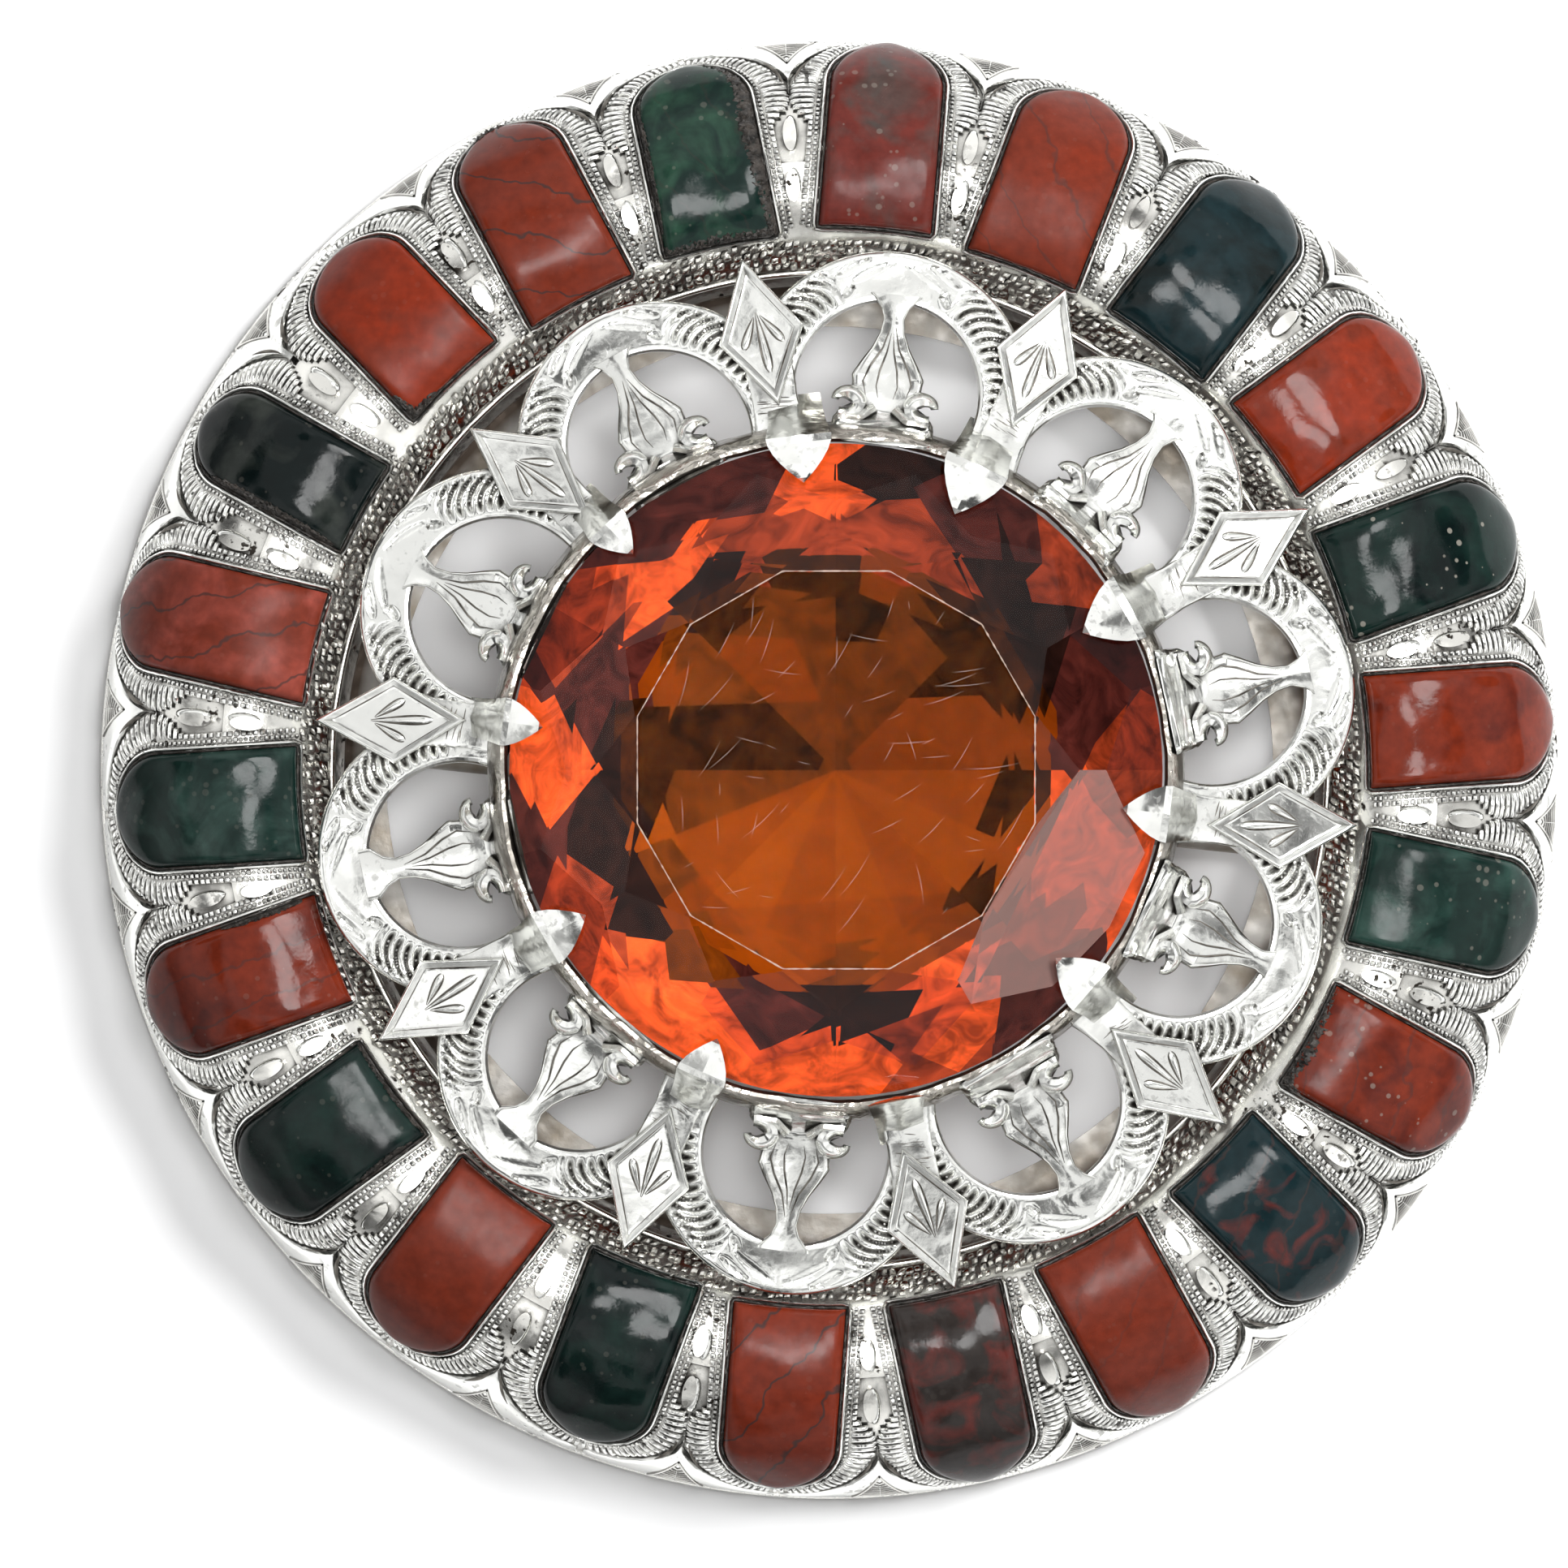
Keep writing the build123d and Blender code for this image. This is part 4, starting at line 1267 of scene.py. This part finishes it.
def scroll_grid(side, to_surface):
    """A ribbon that curls in over one turn, on one side of a tulip."""
    turn = np.linspace(-0.6 * pi, 0.95 * pi, 36)
    spiral = np.interp(turn, [turn[0], turn[-1]], [0.95, 0.5])
    centre = np.array([19.05, side * 2.1])
    curl = centre + np.stack([0.75 * spiral * np.sin(turn), -side * spiral * np.cos(turn)], 1)
    stem = np.array([[18.9, side * 0.5], [18.35, side * 1.2]])
    path = resample(np.concatenate([stem, curl]), 0.12)
    half = np.interp(np.linspace(0, 1, len(path)), *zip(*scroll_halves))
    share, lift = scroll_section.T
    return to_surface(beside(path, share * half[:, None]), lift[None])


tulip_shape, scrolls = Shape(), Shape()
rng = np.random.default_rng(500)
for index in range(len(lobes)):
    to_surface = on_gallery_turned(lobe_angle(index))
    tulip_shape.add_grid(tulip_grid(index, rng, to_surface), wrap_columns=True)
    for side in (-1, 1):
        scrolls.add_grid(scroll_grid(side, to_surface), wrap_columns=True)
        for line in tulip_lines:
            engrave(cuts, np.array(line) * np.array([1, side]), 0.05, 0.09, to_surface)
tulip_shape.make("tulips", silvers["gallery_silver"], "silver", outward=True)
scrolls.make("scrolls", silvers["gallery_silver"], "silver", outward=True)
cuts.make("gallery_engraving", engraved, "silver")

# Collar: the rough rubbed-over ring round the girdle, as radius and height
collar_section = np.array([
    (18.0, 10.4), (17.9, 11.4), (17.72, 12.3), (17.5, 12.85), (17.28, 13.08), (17.08, 13.05),
    (16.95, 12.85), (16.92, 12.2),
])
collar_waves = (5, 9, 14, 23, 37, 61)
rng = np.random.default_rng(8)
turn = full_turn(360)[:, None]
radius, height = collar_section.T
rough = np.zeros_like(turn)
for wave in collar_waves:
    rough = rough + 0.05 * np.cos(wave * turn + rng.uniform(0, tau)) / sqrt(wave / collar_waves[0])
radius = radius + rough * 0.7 + 0.1 * np.maximum(rough, 0) * rng.normal(0, 1, turn.shape)
height = height + np.roll(rough, 50, axis=0) * 1.1
collar_grid = np.stack([stone_x + radius * np.cos(turn), stone_y + radius * np.sin(turn), height], -1)
collar = Shape()
collar.add_grid(collar_grid, wrap_rows=True)
collar_piece = collar.make("collar", silvers["collar_silver"], "silver")
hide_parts("gallery")

# Claws: ridged leaves bent over the girdle
crown_slope = crown_height / (citrine_radius - crown_reach)
claw_rise = 1.13 * crown_slope


def from_stone(plan, height):
    """Points at plan places measured from the citrine's axis."""
    return np.stack([plan[..., 0] + stone_x, plan[..., 1] + stone_y, height], axis=-1)


def on_crown(plan, lift):
    """Points over the citrine's crown or its girdle."""
    inward = np.clip(citrine_radius - np.hypot(plan[..., 0], plan[..., 1]), -0.15, None)
    return from_stone(plan, girdle_top + inward * claw_rise + lift)


# A claw's leaf from its tip to the bend: share of the way, share of the width, lift over the crown
claw_leaf = np.array([
    (1.0, 0.01, 0.08), (0.9, 0.17, 0.14), (0.75, 0.39, 0.22), (0.55, 0.64, 0.32), (0.35, 0.84, 0.4),
    (0.15, 0.97, 0.46), (0.0, 1.0, 0.48),
])
# Its outer face from the bend down: radius, share of the width, height
claw_back = np.array([
    (17.55, 0.96, 13.3), (18.0, 0.88, 12.1), (18.5, 0.84, 10.9), (19.0, 0.82, 10.0), (19.5, 0.8, 9.3),
])
# Its section: a share of the width and a share of the ridge
claw_section = both_sides([(-1.0, -0.6), (-1.0, 0.0), (-0.5, 0.5), (0.0, 1.0)])
claw_bend = 17.3
claw_length = 2.45
claw_half = 1.55
claw_ridge = 0.34


def claw_grid(claw):
    """A claw's surface: the leaf on the crown, then the face that runs down outside the collar."""
    share, ridge_share = claw_section.T
    way, wide, lift = claw_leaf.T[..., None]
    plan = plan_grid(claw_bend - way * claw_length * claw.reach, wide * claw.width * claw_half * share)
    ridge = claw_ridge * np.interp(way, [0, 0.9, 1.0], [1.0, 0.7, 0.2])
    leaf = on_crown(turned(plan, radians(claw.angle)), lift + ridge * ridge_share)
    radius, wide, height = claw_back.T[..., None]
    plan = plan_grid(radius, wide * claw.width * claw_half * share)
    back = from_stone(turned(plan, radians(claw.angle)), height + claw_ridge * (ridge_share - 0.4))
    return np.concatenate([leaf, back])


claw_shape = Shape()
for claw in claws:
    claw_shape.add_grid(claw_grid(claw), wrap_columns=True)
claw_shape.make("claws", silvers["gallery_silver"], "silver", sharp=25.0, outward=True)

# Citrine: the brilliant of the solids, cut facet by facet. Its face is clear, and its back facets are split
# by more cuts, as their own reflections split them, into bright and dark tones of painted reflection and
# glow.
table_height = girdle_top + crown_height
crown_angle = degrees(atan2(crown_height, citrine_radius - crown_reach))
pavilion_angle = degrees(atan2(girdle_height - culet_height, citrine_radius))
Facets = namedtuple("Facets", "count turn slope radius height")
facet_rows = [
    Facets(crown_mains, 0.5, crown_angle, citrine_radius, girdle_top),
    Facets(crown_mains, 0.0, crown_angle - star_ease, table_radius, table_height),
    Facets(2 * crown_mains, 0.5, crown_angle + crown_break, citrine_radius, girdle_top - scallop),
    Facets(pavilion_mains, 0.5, 180 - pavilion_angle, citrine_radius, girdle_height),
    Facets(2 * pavilion_mains, 0.5, 180 - pavilion_angle - pavilion_break, citrine_radius, girdle_height),
]
# Where painted reflections make the stone bright or dark: azimuth and radius of each patch of a tone, as
# seen
ring_patches = {
    "flame": [
        (92, 14.5), (130, 13.6), (178, 14.6), (230, 14.6), (255, 15.8), (270, 15.4), (295, 12.6),
        (340, 15.0), (348, 12.2),
    ],
    "ember": [
        (91, 12.2), (150, 15.8), (212, 15.6), (288, 15.6), (322, 12.2), (2, 15.4), (42, 15.4),
        (70, 12.6), (110, 12.6),
    ],
    "maroon": [
        (128, 15.4), (158, 13.2), (192, 15.4), (252, 11.8), (310, 15.4), (8, 12.6), (22, 15.4),
        (62, 15.4), (110, 15.4),
    ],
    "night": [
        (128, 11.2), (170, 12.0), (192, 12.0), (212, 12.6), (272, 12.4), (30, 12.6), (48, 13.2),
        (78, 15.6),
    ],
    "brown": [(232, 11.6)],
}
# Where painted reflections make the window bright or dark, likewise
window_patches = {
    "umber": [
        (87, 8.6), (145, 3.6), (35, 3.6), (176, 9.0), (352, 6.8), (40, 9.4), (316, 9.2), (127, 9.8),
        (171, 9.7), (185, 9.7), (28, 9.8), (52, 9.8), (357, 9.8), (104, 9.9),
    ],
    "brown": [
        (66, 9.0), (108, 9.0), (90, 5.4), (60, 6.6), (90, 2.4), (142, 9.2), (188, 6.6), (207, 9.8),
        (272, 9.9),
    ],
    "honey": [
        (122, 6.6), (160, 7.6), (18, 7.4), (8, 9.6), (262, 9.0), (232, 9.4), (305, 9.9), (150, 9.9),
        (75, 9.9),
    ],
    "amber": [(200, 9.0), (235, 6.0), (280, 6.0), (325, 6.0), (200, 5.0), (335, 9.2)],
    "gold": [(218, 6.0), (257, 6.0), (302, 6.0), (345, 6.0), (290, 9.2), (246, 9.9)],
}
# Cuts of the window: a point on each, its lean off level, and 1 for the upper half or -1 for the lower
Cut = namedtuple("Cut", "x y lean half")
window_cuts = [
    Cut(0, 3.6, 2, 1),
    Cut(0, 6.7, -3, 1),
    Cut(2.7, 8.0, 66, 1),
    Cut(-2.7, 8.0, 114, 1),
    Cut(0, 0, 22, -1),
    Cut(0, 0, 66, -1),
    Cut(0, 0, 113, -1),
    Cut(0, 0, 157, -1),
    Cut(0, -6.8, 4, -1),
]
# The crown bends sight inwards: where a back facet shows, from where it lies
shown_scale, shown_shift = 1.245, 4.27
# Upright part of a facet's normal, over which it is the table and under which it is at the back
table_tilt = 0.999
back_tilt = -0.2
blank_height = 2 * crown_height + 40
touch_distance = 1e-6


def polar(azimuth, radius):
    """Plan place of an azimuth in degrees and a radius."""
    return radius * cos(radians(azimuth)), radius * sin(radians(azimuth))


def patch_table(patches):
    """Place and tone number of each patch, as rows."""
    rows = []
    for tone, spots in patches.items():
        rows.extend((*polar(*spot), list(tones).index(tone)) for spot in spots)
    return np.array(rows)


ring_table, window_table = patch_table(ring_patches), patch_table(window_patches)


def facet_tone(x, y):
    """Tone number of a piece of back facet, by where it lies."""
    radius = hypot(x, y)
    table, grow = window_table, 1.0
    if radius >= window_radius:
        table, grow = ring_table, (radius + shown_shift) / shown_scale / radius
    nearest = np.argmin(np.hypot(table[:, 0] - x * grow, table[:, 1] - y * grow))
    return int(table[nearest, 2])


def cut_plane(body, point, normal, faces=None, clear=False):
    """Cuts a mesh, or some of its faces, with a plane; clear takes away the outer side.

    Edges and corners are listed in a fixed order, so that every run cuts alike.
    """
    faces = list(faces or body.faces)
    edges = dict.fromkeys(edge for face in faces for edge in face.edges)
    corners = dict.fromkeys(corner for face in faces for corner in face.verts)
    geometry = [*faces, *edges, *corners]
    plane = {"plane_co": point, "plane_no": normal}
    bmesh.ops.bisect_plane(body, geom=geometry, dist=touch_distance, clear_outer=clear, **plane)
    if clear:
        bmesh.ops.holes_fill(body, edges=[edge for edge in body.edges if edge.is_boundary])


def back_faces(body, inner=0.0, outer=inf):
    """Back faces whose middles lie between two radii."""
    lower = [face for face in body.faces if face.normal.z < back_tilt]
    return [face for face in lower if inner <= face.calc_center_median().xy.length < outer]


def cut_facets(body):
    """The table and every row of facets."""
    cut_plane(body, (0, 0, table_height), (0, 0, 1), clear=True)
    for row in facet_rows:
        for place in range(row.count):
            angle, slope = radians((place + row.turn) * 360 / row.count), radians(row.slope)
            point = (row.radius * cos(angle), row.radius * sin(angle), row.height)
            normal = (sin(slope) * cos(angle), sin(slope) * sin(angle), cos(slope))
            cut_plane(body, point, normal, clear=True)


def split_window(body):
    """Cuts round the window's edge, across its border and over its middle."""
    for place in range(crown_mains):
        angle = tau * place / crown_mains
        point = (window_radius * cos(angle), window_radius * sin(angle), 0)
        cut_plane(body, point, (cos(angle), sin(angle), 0), faces=back_faces(body))
    for place in range(2 * crown_mains):
        angle = tau * (place + 0.5) / (2 * crown_mains)
        point = (window_border * cos(angle), window_border * sin(angle), 0)
        cut_plane(body, point, (cos(angle), sin(angle), 0), faces=back_faces(body, outer=window_radius))
        border = back_faces(body, window_border, window_radius)
        cut_plane(body, (0, 0, 0), (-sin(angle), cos(angle), 0), faces=border)
    for cut in window_cuts:
        window = back_faces(body, outer=window_radius)
        half = [face for face in window if face.calc_center_median().y * cut.half > 0]
        lean = radians(cut.lean)
        cut_plane(body, (cut.x, cut.y, 0), (-sin(lean), cos(lean), 0), faces=half)


def split_ring(body, rng):
    """Chords at random over the back, outside its middle."""
    for _ in range(chords):
        angle, off = rng.uniform(0, tau), rng.uniform(7.5, 15.5)
        lean = angle + rng.normal(0, 0.35)
        point = (off * cos(angle), off * sin(angle), 0)
        cut_plane(body, point, (cos(lean), sin(lean), 0), faces=back_faces(body))


def paint_facets(body, rng):
    """Gives each facet its material: glasses first, then tones, then the scuffed one with its painted sheen.
    """
    for face in body.faces:
        middle = face.calc_center_median()
        if face.normal.z > table_tilt:
            face.material_index = 0
        elif face.normal.z > back_tilt:
            star = middle.xy.length < table_radius + 1.6
            face.material_index = 1 + int(rng.choice(3, p=[0.7, 0.2, 0.1])) * (not star)
        else:
            face.material_index = len(glasses) + facet_tone(middle.x, middle.y)
    place = Vector(polar(*scuffed_sheen_spot))
    crown = [face for face in body.faces if 0 < face.normal.z < table_tilt]
    near = min(crown, key=lambda face: (face.calc_center_median().xy - place).length)
    near.material_index = len(glasses) + len(tones)


# Where the scuffed facet with its painted sheen lies
scuffed_sheen_spot = (-45, 13.2)
rng = np.random.default_rng(31)
body = bmesh.new()
blank = {"cap_ends": True, "segments": 144, "radius1": citrine_radius, "radius2": citrine_radius}
bmesh.ops.create_cone(body, depth=blank_height, **blank)
cut_facets(body)
split_window(body)
split_ring(body, rng)
paint_facets(body, rng)
table = next(face for face in body.faces if face.normal.z > table_tilt)
table_corners = np.array([corner.co[:] for corner in table.verts])
bmesh.ops.translate(body, verts=body.verts, vec=(stone_x, stone_y, 0))
bmesh.ops.scale(body, verts=body.verts, vec=(MM, MM, MM))
citrine_mesh = bpy.data.meshes.new("cut_citrine")
body.to_mesh(citrine_mesh)
body.free()
for material in (*glass_materials, *tone_materials, scuffed_sheen_facet):
    citrine_mesh.materials.append(material)
cut_citrine = bpy.data.objects.new("cut_citrine", citrine_mesh)
bpy.context.scene.collection.objects.link(cut_citrine)
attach(cut_citrine, "root")
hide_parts("citrine")

# Wear on the citrine: the scuffed edge of its table, and fine scratches over it
scratch_count = 70
scratch_points = 12
wear_lift = 0.004


def on_table(plan, lift):
    """Points over the citrine's table."""
    return from_stone(plan, table_height + lift + 0 * plan[..., 0])


wear = Shape()
rng = np.random.default_rng(12)
for ends in zip(table_corners, np.roll(table_corners, -1, axis=0)):
    line = resample(np.array(ends)[:, :2] * 0.998, 0.15)
    half = np.abs(rng.normal(0.02, 0.014, len(line))) + 0.006
    wear.add_grid(tapered(line, half, 0.2 * half, wear_lift, on_table))
for _ in range(scratch_count):
    start = rng.uniform(-8.5, 8.5, 2)
    lean, length = rng.normal(0.6, 0.7), rng.uniform(0.4, 3.0)
    run = np.linspace(0, length, scratch_points)
    line = start + np.stack([np.cos(lean + 0.05 * run), np.sin(lean + 0.05 * run)], 1) * run[:, None]
    half = 0.010 * np.sin(pi * np.linspace(0.05, 0.95, scratch_points))
    if np.hypot(*line.T).max() < table_radius - 0.3:
        wear.add_grid(tapered(line, half, 0.2 * half, wear_lift, on_table))
wear.make("table_wear", worn_stone, "citrine")

# Solids that are shown as they are
shown_solids = {"ring_frame": silvers["ground_silver"], "back_plate": back_silver, "brooch_pin": back_silver}
for name, material in shown_solids.items():
    node = frame["nodes"][name]
    node.data.materials.clear()
    node.data.materials.append(material)

# Studio: a white floor, three soft lights above, a soft key light and a tent of light and dark cards
white = (1, 1, 1, 1)
floor_reach = 3.0
floor_mesh = bpy.data.meshes.new("floor")
floor_corners = [(x * floor_reach, y * floor_reach, 0) for x, y in ((-1, -1), (1, -1), (1, 1), (-1, 1))]
floor_mesh.from_pydata(floor_corners, [], [(0, 1, 2, 3)])
floor = bpy.data.objects.new("floor", floor_mesh)
bpy.context.scene.collection.objects.link(floor)
floor_numbers = {"Base_Color": (0.93, 0.93, 0.935, 1), "Roughness": 0.9, "Specular_IOR_Level": 0.0}
floor_material = new_material("floor", Emission_Color=white, Emission_Strength=0.06, **floor_numbers)[0]
floor_mesh.materials.append(floor_material)

# Lights: place and size in metres, power in watts, and whether polished faces show the light
Light = namedtuple("Light", "name place size power mirrored")
lights = [
    Light("sparkle", (0.0, 0.0, 0.24), (0.06, 0.06), 0.12, True),
    Light("softbox", (0.062, 0.066, 0.285), (0.10, 0.08), 0.27, True),
    Light("overhead", (0.0, 0.0, 0.30), (0.12, 0.12), 0.18, False),
    Light("key", (0.30, 0.20, 0.36), (0.32, 0.16), 2.9, False),
]


def area_light(light):
    """A soft light that aims at the brooch."""
    data = bpy.data.lights.new(light.name, "AREA")
    data.shape = "ELLIPSE"
    data.size, data.size_y = light.size
    data.energy = light.power
    lamp = bpy.data.objects.new(light.name, data)
    lamp.location = light.place
    lamp.rotation_euler = Vector(light.place).to_track_quat("Z", "Y").to_euler()
    lamp.visible_camera = False
    lamp.visible_glossy = light.mirrored
    bpy.context.scene.collection.objects.link(lamp)


for light in lights:
    area_light(light)

# The tent: its radiance at each height, then cards that stand before it. A card's place is
# given by its azimuth and elevation, and it fades from its inner to its outer half angle.
Card = namedtuple("Card", "azimuth elevation inner outer radiance")
cards = [
    Card(225, 38, 9, 18, 0.40),
    Card(0, 90, 6, 9, 0.78),
    Card(35, 60, 9, 12, 1.35),
    Card(60, 56, 4, 6, 0.10),
    Card(345, 62, 4, 6, 0.08),
    Card(100, 54, 5, 7, 1.40),
    Card(120, 62, 5, 7, 0.10),
    Card(205, 62, 7, 10, 1.25),
    Card(290, 60, 6, 8, 0.10),
    Card(325, 48, 9, 12, 1.35),
    Card(160, 38, 9, 12, 0.05),
    Card(80, 42, 11, 15, 1.15),
    Card(255, 36, 10, 13, 0.05),
    Card(20, 30, 9, 12, 0.05),
    Card(0, 68, 4, 5, 0.10),
    Card(240, 70, 5, 7, 1.45),
    Card(230, 48, 8, 11, 0.06),
    Card(262, 58, 4, 6, 0.06),
    Card(185, 50, 5, 8, 0.12),
]
tent_heights = [(0.0, 0.2), (0.25, 0.58), (0.5, 0.98), (0.72, 0.78), (0.9, 0.74), (1.0, 0.72)]
tent_radiance = 1.18


def height_curve(tree, height):
    """The tent's radiance at a height on the sphere round the brooch."""
    curve = add_node(tree, "ShaderNodeFloatCurve", {"Value": height})
    points = curve.mapping.curves[0].points
    for place, radiance in tent_heights[1:-1]:
        points.new(place, radiance)
    points[0].location = tent_heights[0]
    points[-1].location = tent_heights[-1]
    curve.mapping.update()
    return maths(tree, "MULTIPLY", curve.outputs[0], tent_radiance)


def add_card(tree, toward, radiance, card):
    """The radiance with one more card before it."""
    flat, up = radians(card.azimuth), radians(card.elevation)
    direction = (cos(up) * cos(flat), cos(up) * sin(flat), sin(up))
    facing = add_node(tree, "ShaderNodeVectorMath", {0: toward, 1: direction}, operation="DOT_PRODUCT")
    limits = {"From Min": cos(radians(card.outer)), "From Max": cos(radians(card.inner))}
    inputs = {"Value": facing.outputs["Value"], **limits}
    cover = add_node(tree, "ShaderNodeMapRange", inputs, interpolation_type="SMOOTHSTEP").outputs[0]
    shown = {"Factor": cover, "A": radiance, "B": card.radiance}
    return add_node(tree, "ShaderNodeMix", shown, data_type="FLOAT").outputs[0]


world = bpy.data.worlds.new("studio")
bpy.context.scene.world = world
world.use_nodes = True
tree = world.node_tree
toward = add_node(tree, "ShaderNodeTexCoord").outputs["Generated"]
height = add_node(tree, "ShaderNodeSeparateXYZ", {"Vector": toward}).outputs["Z"]
radiance = height_curve(tree, height)
for card in cards:
    radiance = add_card(tree, toward, radiance, card)
background = tree.nodes["Background"]
tree.links.new(radiance, background.inputs["Strength"])
background.inputs["Color"].default_value = white
world.cycles_visibility.diffuse = False

# Camera: straight down, a little off the brooch's middle
camera_data = bpy.data.cameras.new("camera")
camera_data.sensor_width = 36.0
camera_data.lens = 396.3
camera_data.clip_start = 0.01
camera_data.clip_end = 10.0
camera = bpy.data.objects.new("camera", camera_data)
camera.location = (-2.37 * MM, -0.72 * MM, 0.901)
bpy.context.scene.collection.objects.link(camera)
bpy.context.scene.camera = camera
bpy.context.scene.view_settings.view_transform = "Standard"
